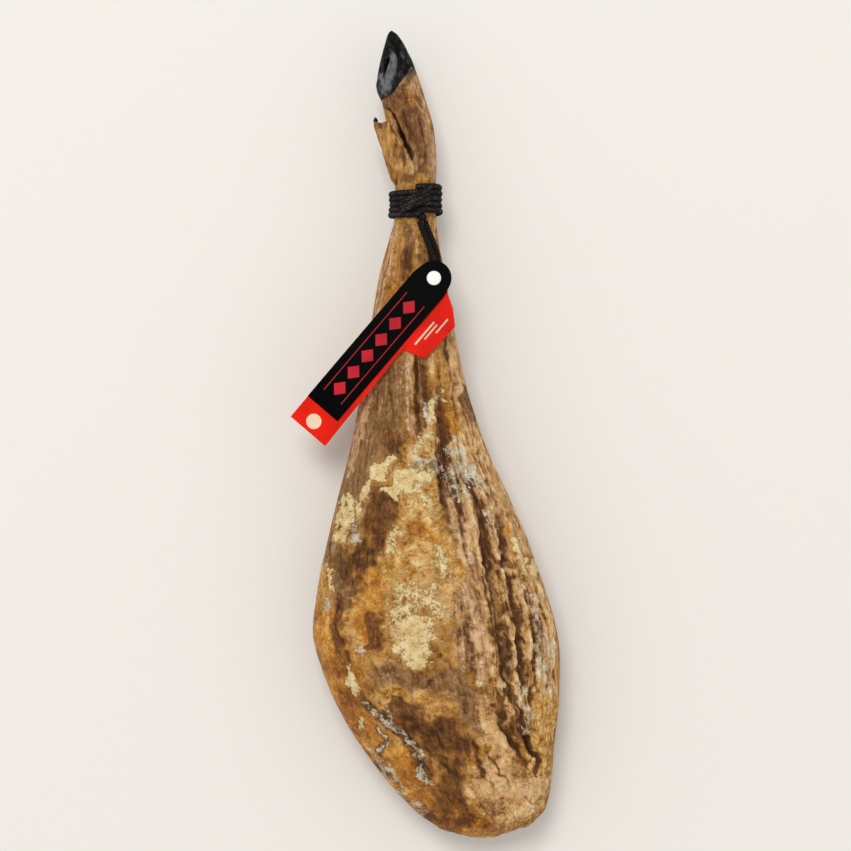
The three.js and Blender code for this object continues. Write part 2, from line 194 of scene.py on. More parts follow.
def outward(rings):
    """Unit normals of a closed grid: the cross product of the steps round each ring and along them."""
    ahead = np.gradient(rings, axis=0)
    round_ring = np.roll(rings, -1, axis=1) - np.roll(rings, 1, axis=1)
    normal = np.cross(round_ring, ahead)
    normal /= np.linalg.norm(normal, axis=-1, keepdims=True) + 1e-12
    return -normal


def random_field(points, size, seed):
    """Smooth random numbers from 0 to 1: random values on a lattice size apart, blended between neighbours
    by 3 u u - 2 u u u along each axis. size may differ per axis."""
    table = np.random.default_rng(seed).random((LATTICE, LATTICE, LATTICE))
    q = points / np.asarray(size, dtype=float) + LATTICE_START
    low = np.floor(q).astype(int)
    u = q - low
    u = u * u * (3 - 2 * u)
    total = 0.0
    for corner in np.ndindex(2, 2, 2):
        at = (low + corner) % LATTICE
        share = np.prod(np.where(corner, u, 1 - u), axis=-1)
        total = total + share * table[at[..., 0], at[..., 1], at[..., 2]]
    return total


def nearest_on(line, x, y):
    """Distance from each x, y to a drawn line, and how far along the line that is, from 0 to 1."""
    line = np.asarray(line, dtype=float)
    dense = curve_through(line[:, :2], np.linspace(0, 1, 4 * len(line)))
    best = np.full(x.shape, np.inf)
    share = np.zeros(x.shape)
    parts = len(dense) - 1
    for k in range(parts):
        (ax, ay), (bx, by) = dense[k], dense[k + 1]
        length = (bx - ax) ** 2 + (by - ay) ** 2
        u = np.clip(((x - ax) * (bx - ax) + (y - ay) * (by - ay)) / length, 0, 1)
        distance = np.hypot(x - ax - u * (bx - ax), y - ay - u * (by - ay))
        closer = distance < best
        best = np.where(closer, distance, best)
        share = np.where(closer, (k + u) / parts, share)
    return best, share


def brushed(x, y, strokes):
    """How well strokes of a brush cover each x, y: 1 on a stroke's line, a half at its width, fading as
    2 to the power of minus distance over width squared. A stroke is its width and the points of its line."""
    cover = np.zeros(x.shape)
    for width, *line in strokes:
        distance, _ = nearest_on(line, x, y)
        cover = np.maximum(cover, 2.0 ** -((distance / width) ** 2))
    return cover


# Folds in the solid, and the finer ones that only this surface has: depth, width, then the line's points.
FOLDS = [
    (7.5, 5, (11, 42), (15, 9), (16, -21), (18, -49), (21, -86), (30, -126)),
    (9, 5, (45, -36), (53, -76), (59, -111), (66, -156), (75, -196), (83, -236), (90, -270), (105, -311)),
    (7, 4.5, (72, -86), (79, -126), (85, -166), (91, -206), (99, -246), (103, -266)),
    (8, 5, (69, -256), (75, -278), (87, -304), (97, -322), (106, -336)),
    (4, 5, (31, 4), (37, -36), (44, -70)),
    (4, 7, (-25, -271), (0, -301), (25, -318)),
    (3, 7, (-65, -241), (-45, -266), (-20, -291), (-7, -321), (3, -346)),
    (4, 6, (-7, 89), (-1, 34), (5, 4)),
    (-3.5, 4.5, (-17.5, 89), (-16, 44), (-14.5, 4)),
    (4, 4, (18, 104), (25, 78), (32, 52), (38, 24)),
    (3.5, 6, (-17, 206), (-15, 172), (-22, 134)),
    (4, 5, (-20, 329), (-11, 304), (-5, 274), (-4, 252)),
    (6, 3.6, (-40, 324), (-33, 312), (-27, 298), (-14, 277), (-8, 266)),
    (-4, 12, (80, -46), (105, -126), (118, -206), (122, -266)),
]
CREASES = [
    (2.2, 1.7, (28, -62), (34, -88), (40, -118), (46, -150)),
    (2.6, 1.8, (51, -118), (56, -146), (62, -172), (70, -206), (77, -236)),
    (2.0, 1.5, (61, -74), (66, -92), (71, -118), (73, -142)),
    (-2.2, 2.2, (56, -92), (62, -124), (68, -158), (76, -196), (82, -226), (90, -254)),
    (-2.0, 2.0, (66, -86), (73, -122), (79, -160), (86, -200), (92, -236)),
    (2.4, 1.6, (96, -150), (102, -186), (107, -222), (106, -256), (104, -290)),
    (1.8, 1.4, (108, -170), (113, -206), (114, -240)),
    (2.2, 1.4, (57, -306), (65, -321), (77, -339), (85, -356)),
    (2.4, 1.5, (98, -359), (107, -360), (117, -361)),
    (4.5, 3.4, (94, -288), (103, -308), (112, -332)),
    (2.6, 2.2, (40, -292), (50, -312), (58, -334), (72, -352)),
    (2.0, 1.3, (0, -246), (6, -241), (13, -236)),
    (1.8, 1.4, (4, -310), (14, -316), (26, -320)),
    (1.8, 1.6, (-28, -288), (-12, -303), (4, -313), (22, -330), (34, -352)),
    (1.6, 1.3, (30, -182), (33, -200), (31, -216)),
    (1.4, 1.2, (14, -190), (17, -206), (15, -222), (18, -234)),
    (1.4, 1.2, (40, -186), (45, -204), (50, -222)),
    (1.5, 1.3, (22, -234), (30, -246), (40, -254), (52, -262)),
    (1.6, 1.5, (-52, -240), (-40, -254), (-24, -262), (-6, -272)),
    (1.6, 1.4, (-12, 96), (-9, 66), (-10, 34), (-8, 12)),
    (1.4, 1.2, (-33, 90), (-36, 54), (-32, 22), (-36, -4)),
    (1.2, 1.2, (-46, 60), (-50, 20), (-56, -18)),
    (1.6, 1.4, (24, 76), (28, 50), (30, 24), (36, 2)),
    (1.6, 1.5, (36, 6), (46, -22), (58, -46), (66, -66)),
    (1.3, 1.2, (-24, 200), (-26, 176), (-32, 150)),
    (1.5, 1.3, (2, 206), (4, 184), (8, 160)),
    (1.2, 1.1, (-28, 290), (-24, 272), (-18, 256)),
    (1.4, 1.2, (-14, 340), (-6, 318), (0, 290), (1, 262)),
    (1.2, 1.1, (-24, 332), (-20, 312), (-14, 292)),
    (2.0, 1.6, (54, -96), (58, -118), (61, -136)),
    (6, 1.7, (-38, 323), (-31, 311.5), (-26.5, 297), (-13.5, 276)),
    (1.8, 1.5, (-10, 76), (-8, 44), (-6, 6)),
    (1.6, 1.3, (10, 90), (14, 60), (17, 34)),
    (-1.4, 2.4, (20, -58), (27, -84), (36, -112), (41, -136)),
    (1.6, 1.4, (-70, -300), (-52, -326), (-30, -352), (-4, -374)),
    (1.3, 1.3, (12, -330), (20, -350), (34, -370), (50, -384)),
    (1.6, 1.4, (46, -330), (50, -350), (60, -372), (72, -388)),
]
# Swellings and hollows: height, middle x, y, half width, half length, lean in degrees.
MOUNDS = [
    (6, -13, -176, 45, 90, 0),
    (7, 80, -336, 34, 50, 20),
    (3, -20, -46, 30, 30, 0),
    (-5, -60, -96, 18, 45, -30),
    (-6, 3, -298, 20, 30, 60),
    (3, -90, -206, 20, 60, 0),
]


def sunk(x, y, folds, lip):
    """Height of drawn folds: each sinks by its depth times exp(-(d / width) squared), runs out towards its
    ends as a sine, and throws up a low lip beside it."""
    height = np.zeros(x.shape)
    for depth, width, *line in folds:
        distance, share = nearest_on(line, x, y)
        ends = np.sin(np.pi * (0.08 + 0.84 * share))
        valley = np.exp(-((distance / width) ** 2))
        shoulder = np.exp(-(((distance - 2.1 * width) / width) ** 2))
        height -= depth * ends * (valley - lip * shoulder)
    return height


def swollen(x, y):
    """Height of the swellings: each is height times exp of minus the squares across and along its axis."""
    height = np.zeros(x.shape)
    for tall, mx, my, across, along, lean in MOUNDS:
        turn = math.radians(lean)
        u = (x - mx) * math.cos(turn) - (y - my) * math.sin(turn)
        v = (x - mx) * math.sin(turn) + (y - my) * math.cos(turn)
        height += tall * np.exp(-((u / across) ** 2) - (v / along) ** 2)
    return height


# Where the surface changes: strokes of the brush, each its width and its line.
# First the crusts, whole and speckled, then the tones of rind and fat, then the mould.
CREAM = [
    (4, (-34, -27), (-43, -37), (-53, -49), (-62, -63), (-68, -80)),
    (6, (-75, -66), (-82, -83), (-88, -101)),
    (7, (-31, -52), (-22, -44), (-5, -38), (3, -40)),
    (4, (-31, -58), (-28, -62)),
    (19, (-14, -192), (-12, -206)),
    (9, (-10, -212), (-9, -221)),
    (3, (-96, -142), (-95, -148)),
    (3.4, (-78, -232), (-74, -244), (-66, -252)),
    (5, (48, -238), (50, -245)),
    (3, (76, -248), (77, -253)),
    (2.4, (-66, -288), (-64, -292)),
    (3, (84, -104), (90, -116), (95, -126)),
    (1.8, (62, -73), (66, -87)),
    (3, (8, 30), (10, 18)),
    (2.4, (17, 40), (20, 38)),
    (3, (88, -112), (93, -118)),
    (2.6, (104, -122), (107, -134)),
]
SPECKLED_CREAM = [
    (18, (-17, -158), (-15, -190)),
    (9, (6, -148), (8, -176)),
    (8, (-30, -96), (-34, -118)),
    (8, (12, -112), (16, -140)),
    (7, (0, 2), (-3, -16)),
    (8, (-12, -50), (2, -62)),
    (4, (86, -100), (102, -140)),
]
PEACH = [
    (9, (0, 10), (-1, -5), (-5, -18)),
    (7, (-15, -20), (4, -19)),
    (15, (-8, -54), (-4, -84)),
    (10, (-8, -104), (-2, -134)),
    (9, (24, -142), (16, -168)),
    (6, (-66, -146), (-70, -176), (-72, -204)),
    (6, (43, -209), (47, -216)),
]
GOLDEN = [
    (9, (113, -262), (113, -300), (108, -330)),
    (19, (-8, -52), (-10, -80), (-14, -112), (-14, -138)),
    (16, (14, -118), (22, -140), (20, -168)),
    (10, (-38, -250), (-22, -258), (-5, -265)),
    (9, (-98, -150), (-103, -172)),
]
# The lit edge of the slit behind the foot, a painted highlight, which the dewclaw's tongue shares.
SLIT_EDGE = [(-34, 309), (-27.5, 295), (-20, 281), (-12.5, 266.5)]
# Pale fat, and the slit's lit edge, which is a painted highlight.
PALE_FAT_AND_LIT_EDGE = [
    (3, (3, 82), (5, 66)),
    (7, (26, 92), (33, 54), (40, 22), (52, -8), (64, -34), (80, -68), (96, -106)),
    (11, (62, -266), (70, -292), (76, -318)),
    (19, (68, -342), (82, -360)),
    (13, (98, -352), (112, -350)),
    (5, (114, -205), (117, -250)),
    (2.6, (56, -98), (62, -128), (68, -163)),
    (2.6, (73, -182), (81, -203), (87, -240)),
    (2, (-14, 206), (-10, 188), (-4, 172)),
    # The slit's lit edge: a painted highlight.
    (1.7, *SLIT_EDGE),
    (1.8, (27, -138), (28.5, -166), (30, -202)),
    (4, (6, 208), (8, 184)),
]
ASHEN = [
    (5.5, (-10, 354), (-3, 330), (3, 306), (8, 280), (9, 262)),
    (4, (-14, 286), (-6, 270)),
    (4, (-31, 214), (-32, 190), (-36, 166)),
    (5, (-40, 176), (-46, 146), (-52, 112)),
    (3.2, (-16.5, 92), (-15.5, 44), (-14, 2)),
    (7, (27, -52), (34, -84), (41, -118), (47, -146)),
    (13, (42, -166), (47, -196), (46, -220)),
    (5, (60, -60), (72, -94), (78, -124)),
    (5, (-54, 60), (-64, 10), (-74, -30)),
    (7, (60, -262), (64, -300)),
    (12, (62, -336), (70, -356)),
    (4, (106, -170), (112, -210)),
]
TAUPE = [
    (4, (-14, 361), (-20, 350), (-26, 342)),
    (19, (-42, 106), (-50, 40), (-60, -20), (-72, -60)),
    (13, (-30, 60), (-36, 8), (-32, -16)),
    (13, (-95, -112), (-82, -140), (-84, -160)),
    (5, (20, -50), (24, -74), (30, -100)),
    (9, (-14, 320), (-8, 296), (-4, 268)),
    (16, (38, -168), (42, -200), (47, -216)),
    (10, (-43, -236), (-5, -241), (18, -240)),
    (10, (24, -20), (36, -46), (44, -70)),
    (9, (30, -240), (44, -268), (54, -290)),
    (5, (2, 296), (4, 272)),
]
# Dark brown rind. The narrow strokes along folds and a crease, the foot's fold and left edge, and the slit
# behind the foot are painted shade.
DARK = [
    (14, (-36, -60), (-44, -80), (-54, -104), (-64, -128), (-70, -140)),
    (4, (-9, 70), (-7.5, 40), (-6, 0)),
    (8, (-48, -178), (-50, -200)),
    (8, (-34, -5), (-29, -11)),
    (5, (16, 38), (18, 10), (18, -10), (17, -42)),
    (13, (-22, -272), (2, -296), (21, -314), (30, -331)),
    (13, (20, -285), (30, -310), (28, -340), (22, -358)),
    (5, (31, -352), (42, -370)),
    # Painted shade along two deep folds.
    (2.8, (45, -36), (53, -76), (59, -111), (66, -156), (75, -196), (83, -236), (90, -270), (105, -311)),
    (2.4, (72, -90), (79, -126), (85, -166), (91, -206), (99, -246)),
    (6, (-56, -128), (-62, -138)),
    (3, (17, 104), (24, 78)),
    (6, (-58, -257), (-43, -275), (-29, -284), (-18, -302), (-6, -322), (1, -338)),
    # Painted shade along a crease and a fold.
    (3.0, (78, -250), (89, -289), (102, -308), (111, -331)),
    (2.4, (69, -256), (76, -280), (88, -305), (98, -324)),
    (4, (6, -306), (26, -300)),
    (4, (-50, -283), (-40, -303), (-44, -314)),
    (6, (-86, -162), (-87, -196), (-81, -222)),
    # Painted shadow in the foot's fold, along its left edge and in the slit behind the foot.
    (3.4, (-19, 338), (-16, 318), (-13, 298)),
    (1.8, (-44, 336), (-39, 324), (-34, 314)),
    (2.0, (-38, 322), (-31, 311.5), (-26.5, 297), (-13.5, 276)),
    (5, (-17, 178), (-20, 166)),
]
RUDDY = [
    (12, (-30, 336), (-20, 312), (-12, 286)),
    (5, (-8, 322), (-4, 300), (-2, 280)),
    (5, (-18, 208), (-15, 192), (-17, 172)),
    (5, (-4, 178), (2, 164)),
    (7, (-28, 262), (-14, 258)),
    (6, (-4, 66), (-2, 40), (0, 22)),
    (3, (-8, 340), (-5, 330)),
    (5, (40, 42), (47, 16)),
]
# Where the hip's bone lies close under the skin.
BONY = [
    (13, (62, -270), (72, -300), (78, -320)),
    (24, (70, -345), (84, -362)),
    (16, (100, -352), (112, -350)),
]
# The grey rim of skin that the claws grow from.
COLLAR = [(3.6, (-12, 363), (-19, 352), (-27, 344), (-33, 339))]
AMBER = [
    (13, (-55, -150), (-56, -174), (-52, -190)),
    (24, (-106, -196), (-92, -250), (-68, -298), (-42, -332), (-14, -360), (22, -382), (48, -392)),
    (11, (-29, -318), (-18, -331)),
    (8, (72, -64), (82, -86), (92, -110)),
    (8, (22, 20), (26, 8)),
    (9, (-8, -92), (-8, -94)),
    (6, (3, -97), (10, -102)),
    (7, (-26, 140), (-30, 110)),
]
GREY = [
    (6, (-6, -28), (10, -31)),
    (7, (24, -14), (34, -25), (42, -37)),
    (8, (27, -38), (34, -54)),
    (4, (53, -43), (56, -49)),
    (3.5, (1, 29), (5, 18)),
    (3.5, (11, 40), (12, 36)),
    (5, (-72, -87), (-73, -101)),
    (2.2, (56, -78), (62, -98)),
    (2.8, (104, -166), (108, -200), (110, -233)),
    (3.4, (98, -246), (100, -272), (104, -297)),
    (5.5, (-60, -207), (-60, -210)),
    (2.6, (-99, -166), (-101, -180)),
    (2.6, (-56, -259), (-43, -277), (-29, -283)),
    (3.0, (-28, -283), (-22, -293), (-15, -307), (-6, -322), (1, -335)),
    (2.0, (-49, -283), (-39, -303), (-43, -312), (-49, -320)),
    (2.6, (-36, -272), (-24, -290)),
    (2.6, (-48, -322), (-38, -342), (-20, -362), (-2, -379)),
    (5, (-3, -330), (0, -345)),
    (2.4, (92, -140), (98, -166)),
    (2.4, (116, -206), (119, -250)),
]


def closed_mesh(name, rings):
    """A closed surface in metres from rings of points, with quads between the rings and a fan at each end."""
    count, around = rings.shape[:2]
    ends = rings[[0, -1]].mean(axis=1)
    points = np.concatenate([rings.reshape(-1, 3), ends]) * METRES
    place = np.arange(around)
    beside = (place + 1) % around
    ring = around * np.arange(count - 1)[:, None]
    following = ring + around
    quads = np.stack([ring + place, following + place, following + beside, ring + beside], axis=-1)
    first = np.full(around, count * around)
    near = np.stack([first, place, beside], axis=-1)
    far_start = (count - 1) * around
    far = np.stack([first + 1, far_start + beside, far_start + place], axis=-1)
    mesh = bpy.data.meshes.new(name)
    mesh.from_pydata(points.tolist(), [], [*quads.reshape(-1, 4).tolist(), *near.tolist(), *far.tolist()])
    mesh.polygons.foreach_set("use_smooth", np.ones(len(mesh.polygons), dtype=bool))
    made = bpy.data.objects.new(name, mesh)
    bpy.context.scene.collection.objects.link(made)
    return made


def mark(made, name, values):
    """Stores a number or a place at each point of a mesh, for a material to read. The two end points take the
    middle of the ring beside them."""
    wide = values.reshape(*values.shape[:2], -1)
    spread = np.concatenate([wide.reshape(-1, wide.shape[2]), wide[[0, -1]].mean(axis=1)])
    kind, field = ("FLOAT_VECTOR", "vector") if wide.shape[2] == 3 else ("FLOAT", "value")
    layer = made.data.attributes.new(name, kind, "POINT")
    layer.data.foreach_set(field, spread.astype(np.float32).ravel())


def rough_field(points, size, seed, octaves=3):
    """Random numbers about 0: a random field, plus ones of half the size and half the strength each time."""
    scale = np.asarray(size, dtype=float)
    parts = [0.5 ** k * (random_field(points, scale * 0.5 ** k, seed + k) - 0.5) for k in range(octaves)]
    return 2 * sum(parts)


def wrinkled(points, size, seed):
    """Round ridges with sharp valleys between: how far a random field is from its middle, from 0 to 1."""
    return np.minimum(1.0, 2.6 * np.abs(random_field(points, size, seed) - 0.5)) ** 0.75


# The rings lie at even steps along the leg's middle, a little closer where its slices lie close.
even = np.linspace(0, 1, 1200)
spine = curve_through(SLICES, even)[:, :4].reshape(-1, 2, 2).mean(axis=1)
pace = np.hypot(*np.diff(spine, axis=0).T) + 0.35
travelled = np.concatenate([[0], np.cumsum(pace)])
stations = np.interp(np.linspace(0, 1, RINGS + 1)[1:], travelled / travelled[-1], even)
t, angle = np.meshgrid(stations, slice_angles(OVER, BENEATH), indexing="ij")
plain = slice_points(SLICES, t, angle, UPPER_SQUARENESS, LOWER_SQUARENESS)
normal = outward(plain)
x, y = plain[..., 0], plain[..., 1]

# The meat's own direction: places along the leg keep one angle round it, so strands close up at the shank.
girth = np.ptp(x, axis=1)[:, None] / 236
reach = 60 * girth ** 0.3
sway = 2.5 * rough_field(plain, 46, 17, 2) * girth
flow = np.stack([reach * np.cos(angle) + sway, reach * np.sin(angle) + sway, y + 0 * angle], axis=-1)

# Drawn lines waver as flesh does, so each place is looked up a little to one side of where it is.
slim = 1 - 0.8 * smooth(-20, 60, y)
wx = x + slim * (5 * rough_field(plain, 26, 3) + 4.5 * rough_field(plain, 7, 4))
wy = y + 7 * rough_field(plain, 26, 6) + 6 * rough_field(plain, 7, 7)
shown = smooth(0.0, 0.4, np.sin(angle)) * (1 - smooth(0.97, 1.0, t))
upper = smooth(-0.3, 0.25, np.sin(angle)) * (1 - smooth(0.97, 1.0, t))
rope_clear = smooth(PLAIN_HALF, FULL_HALF, np.abs(y - ROPE_MIDDLE))

# Where each kind of surface lies, and the folds, strands, wrinkles and crumbs that it can have.
sinewy = brushed(x, y, [
    (28, (30, -10), (56, -90), (80, -180), (96, -262)),
    (14, (110, -160), (116, -250)),
    (12, (38, -170), (44, -214)),
])
shank_like = smooth(20, 110, y)
smooth_fat = brushed(wx, wy, [
    (26, (-100, -200), (-80, -270), (-40, -340), (20, -375)), *GOLDEN, *AMBER[:1], *TAUPE[1:3],
])
folded = sunk(x + 0.35 * (wx - x), y + 0.35 * (wy - y), FOLDS, 0.14)
creased = sunk(x + 0.5 * (wx - x), y + 0.5 * (wy - y), CREASES, 0.3)
bony = brushed(wx, wy, BONY)
thick_strands = wrinkled(flow, (4.4, 4.4, 84), 11)
thin_strands = wrinkled(flow, (2.4, 2.4, 52), 12)
wrinkles = wrinkled(plain, (9, 15, 9), 13)
crumbs = rough_field(plain, 5.0, 14, 2)
grit = rough_field(plain, (2.6, 3.6, 2.6), 15, 2)
lumps = rough_field(plain, 34, 21, 3)
cream = np.maximum(brushed(wx, wy, CREAM), 0.64 * brushed(wx, wy, SPECKLED_CREAM))

# Sinew is stranded, tough skin wrinkled, the bony end gritty, and crusts stand out and crumble.
strands = 1.4 * (thick_strands - 0.6) + 1.9 * (thin_strands - 0.6)
tough = 1.7 * (wrinkles - 0.6) + 1.0 * (thin_strands - 0.6)
detail = strands * sinewy + tough * (1 - sinewy) * (1 - 0.7 * smooth_fat) * (1 - 0.35 * shank_like)
crumbly = 1.3 * crumbs * (1 - 0.5 * shank_like) * (1 - 0.5 * smooth_fat)
detail = detail * (1 - 0.75 * bony) + crumbly + 0.8 * grit * bony
crust = smooth(0.35, 0.6, cream)
detail = detail * (1 - 0.6 * crust) + crust * (0.9 + 1.2 * crumbs)
fine_relief = detail + 2.6 * lumps
# It stays low on the slim shank, beneath and at the outline, and there is none under the rope.
capped = np.minimum(fine_relief, 0.5)
fine_relief += (capped - fine_relief) * smooth(40, 80, y)
edge = smooth(0.0, 0.5, np.abs(np.sin(angle))) * (0.2 + 0.8 * smooth(0.02, 0.1, t))
relief = (folded + creased + swollen(x, y)) * shown
relief = relief + fine_relief * (0.25 + 0.75 * upper) * (0.15 + 0.85 * edge)
body = plain + normal * (relief * rope_clear)[..., None]
body[..., 2] = np.maximum(body[..., 2], 0.0)
ham = closed_mesh("ham_surface", body)

mark(ham, "cream", cream)
mark(ham, "lie", flow * METRES)
for name, strokes in {
    "grey": GREY, "golden": GOLDEN, "peach": PEACH, "pale_fat_and_lit_edge": PALE_FAT_AND_LIT_EDGE, "taupe": TAUPE, "dark": DARK,
    "amber": AMBER, "ruddy": RUDDY, "ashen": ASHEN, "collar": COLLAR,
}.items():
    mark(ham, name, brushed(wx, wy, strokes))
mark(ham, "sinewy", sinewy)
mark(ham, "bony", bony)
# Raised: the fine relief. The rind's tones follow it, so its low places are painted darker and its rises
# lighter, as painted shade.
mark(ham, "raised", np.clip(0.5 + (detail + 0.5 * creased) / 5, 0, 1))
# Sunken: how deep the folds and creases go, for the painted shade in them.
mark(ham, "sunken", np.clip(-folded / 7 - creased / 3, 0, 1.5) * shown)
mark(ham, "skin_side", 1 - smooth(-0.3, 0.12, np.sin(angle)))


def feed(tree, socket, value):
    """Joins another node's output to a socket, or sets the socket to a constant."""
    if isinstance(value, bpy.types.NodeSocket):
        tree.links.new(value, socket)
    else:
        socket.default_value = value


def add(tree, kind, settings=None, **sockets):
    """A node with its settings, and its sockets fed by name."""
    made = tree.nodes.new(kind)
    for key, value in (settings or {}).items():
        setattr(made, key, value)
    for key, value in sockets.items():
        feed(tree, made.inputs[key.replace("_", " ")], value)
    return made


def reading(tree, name, kind="Fac"):
    """A mark stored on the mesh, as a number or a place."""
    return add(tree, "ShaderNodeAttribute", {"attribute_name": name}).outputs[kind]


def sums(tree, operation, *values):
    """The result of one operation on two or three numbers."""
    made = add(tree, "ShaderNodeMath", {"operation": operation})
    for socket, value in zip(made.inputs, values):
        feed(tree, socket, value)
    return made.outputs[0]


def weighed(tree, start, *pairs):
    """A starting number plus each value's distance from a half, times its weight."""
    total = start
    for value, weight in pairs:
        total = sums(tree, "MULTIPLY_ADD", sums(tree, "SUBTRACT", value, 0.5), weight, total)
    return total


def stepped(tree, value, low, high, top=1.0):
    """0 below low and top above high, rounded between."""
    return add(tree, "ShaderNodeMapRange", {"interpolation_type": "SMOOTHSTEP"}, Value=value, From_Min=low,
               From_Max=high, To_Min=0.0, To_Max=top).outputs[0]


def blend(tree, factor, first, second):
    """Two colours mixed by a factor. The node's colour sockets are its inputs 6 and 7 and its output 2."""
    made = add(tree, "ShaderNodeMix", {"data_type": "RGBA"})
    for k, value in ((0, factor), (6, first), (7, second)):
        feed(tree, made.inputs[k], value)
    return made.outputs[2]


def tones(tree, value, *colours):
    """A row of screen colours, evenly spaced from value 0 to value 1 and blended between."""
    made = add(tree, "ShaderNodeValToRGB", Fac=value)
    stops = made.color_ramp.elements
    for k in range(1, len(colours) - 1):
        stops.new(k / (len(colours) - 1))
    for stop, colour in zip(stops, colours):
        stop.color = srgb(*colour)
    return made.outputs["Color"]


def grain(tree, where, size, detail=4.0, roughness=0.6, stretch=(1, 1, 1)):
    """Noise whose lumps are about size millimetres across, longer along an axis by its stretch."""
    scale = [1 / (size * METRES * s) for s in stretch]
    spread = add(tree, "ShaderNodeMapping", Vector=where, Scale=scale)
    return add(tree, "ShaderNodeTexNoise", Vector=spread.outputs[0], Scale=1.0, Detail=detail,
               Roughness=roughness).outputs["Fac"]


def bumped(tree, shader, height, strength, rise):
    """Lets a material's light fall as on a surface that rises by so many millimetres times height."""
    bump = add(tree, "ShaderNodeBump", Strength=strength, Distance=rise * METRES, Height=height)
    tree.links.new(bump.outputs[0], shader.inputs["Normal"])


rind_paint, rind, rind_shader = paint("rind")
rind_shader.inputs["Specular IOR Level"].default_value = 0.22
where = add(rind, "ShaderNodeTexCoord").outputs["Object"]
lie = reading(rind, "lie", "Vector")
fine = grain(rind, where, 2.6, 6.0, 0.72)
medium = grain(rind, where, 10.0, 7.0, 0.66)
broad = grain(rind, where, 36.0, 6.0, 0.62)
streaks = grain(rind, lie, 2.6, 6.0, 0.68, (1, 1, 9))
long_streaks = grain(rind, lie, 7.0, 4.0, 0.6, (1, 1, 9))
# The tones below follow the raised relief, so low places are painted darker: painted shade.
raised = reading(rind, "raised")
ragged = weighed(rind, 0.0, (medium, 1.7), (fine, 1.0), (streaks, 0.5))
tone = weighed(rind, 0.5, (medium, 1.5), (fine, 1.3), (raised, 0.8), (broad, 0.8))
hairs = grain(rind, lie, 1.2, 3.0, 0.6, (1, 1, 14))
fibrous = weighed(rind, 0.54, (streaks, 1.2), (long_streaks, 1.6), (hairs, 1.0), (raised, 1.1), (fine, 0.9),
                  (medium, 1.0))
calm = weighed(rind, 0.5, (medium, 1.4), (fine, 0.5), (raised, 0.4), (broad, 0.9))
matted = weighed(rind, 0.5, (streaks, 1.4), (hairs, 0.7), (medium, 1.2), (fine, 1.0), (raised, 0.9))
greasy_tone = weighed(rind, 0.5, (broad, 2.4), (medium, 2.2), (fine, 1.2), (raised, 0.5))
vivid = weighed(rind, 0.5, (medium, 3.0), (fine, 1.9), (raised, 0.7))

# Fine cracks between crazed cells, as long as the skin's strands.
crazed = add(rind, "ShaderNodeMapping", Vector=lie, Scale=(150.0, 150.0, 62.0))
wander = add(rind, "ShaderNodeTexNoise", Vector=lie, Scale=160.0, Detail=3.0)
bent = add(rind, "ShaderNodeVectorMath", {"operation": "ADD"})
feed(rind, bent.inputs[0], crazed.outputs[0])
feed(rind, bent.inputs[1], wander.outputs["Color"])
seams = add(rind, "ShaderNodeTexVoronoi", {"feature": "DISTANCE_TO_EDGE"}, Vector=bent.outputs[0], Scale=1.0)
cracks = stepped(rind, seams.outputs["Distance"], 0.1, 0.015)
cracks = sums(rind, "MULTIPLY", cracks, stepped(rind, medium, 0.46, 0.56))


def patch(name, low, high, raggedness, top):
    """How much of a surface shows at a place: its mark with the ragged noise added, through a step."""
    return stepped(rind, sums(rind, "MULTIPLY_ADD", ragged, raggedness, reading(rind, name)), low, high, top)


# The tones lie over one another: how each shows, what its shade follows, and its shades from dark to light.
stained = sums(rind, "MAXIMUM", reading(rind, "amber"), reading(rind, "golden"))
bare_sinew = sums(rind, "MULTIPLY_ADD", stained, -0.8, reading(rind, "sinewy"))
colour = tones(rind, tone, (104, 58, 13), (163, 110, 44), (198, 147, 78), (222, 180, 114))
for cover, value, *shades in (
    (patch("golden", 0.22, 0.55, 0.9, 0.95), vivid,
     (130, 76, 16), (186, 131, 56), (218, 171, 98), (236, 204, 140)),
    (patch("taupe", 0.22, 0.72, 1.2, 0.9), matted,
     (76, 46, 20), (118, 82, 45), (154, 116, 76), (194, 156, 115)),
    (patch("peach", 0.26, 0.66, 1.0, 0.85), vivid,
     (150, 96, 36), (196, 148, 80), (218, 176, 112), (236, 206, 150)),
    (patch("amber", 0.26, 0.66, 1.1, 0.92), greasy_tone,
     (88, 46, 3), (155, 91, 14), (197, 129, 41), (224, 170, 85)),
    (stepped(rind, bare_sinew, 0.15, 0.7, 0.85), fibrous,
     (84, 46, 12), (170, 122, 66), (212, 167, 109), (235, 197, 143), (245, 219, 174)),
    (patch("pale_fat_and_lit_edge", 0.26, 0.72, 0.9, 0.9), fibrous,
     (132, 88, 42), (190, 144, 90), (218, 176, 122), (238, 206, 156)),
    (patch("ashen", 0.28, 0.7, 0.9, 0.85), fibrous,
     (92, 58, 30), (166, 122, 82), (207, 164, 119), (231, 197, 154)),
    (patch("bony", 0.3, 0.7, 0.7, 0.85), greasy_tone,
     (132, 82, 36), (202, 153, 96), (226, 182, 124), (243, 211, 160)),
    (patch("dark", 0.36, 0.68, 0.9, 0.9), matted,
     (36, 16, 2), (80, 42, 8), (124, 74, 22), (170, 116, 50)),
    (patch("ruddy", 0.34, 0.74, 0.9, 0.85), matted,
     (54, 28, 12), (98, 60, 32), (138, 93, 54), (178, 136, 94)),
    (patch("collar", 0.2, 0.8, 0.3, 0.85), matted,
     (44, 35, 24), (84, 70, 48), (124, 106, 76), (168, 146, 112)),
    (patch("skin_side", 0.3, 0.7, 0.5, 0.85), calm,
     (108, 64, 20), (150, 100, 42), (178, 128, 64), (204, 160, 100)),
):
    colour = blend(rind, cover, colour, tones(rind, value, *shades))
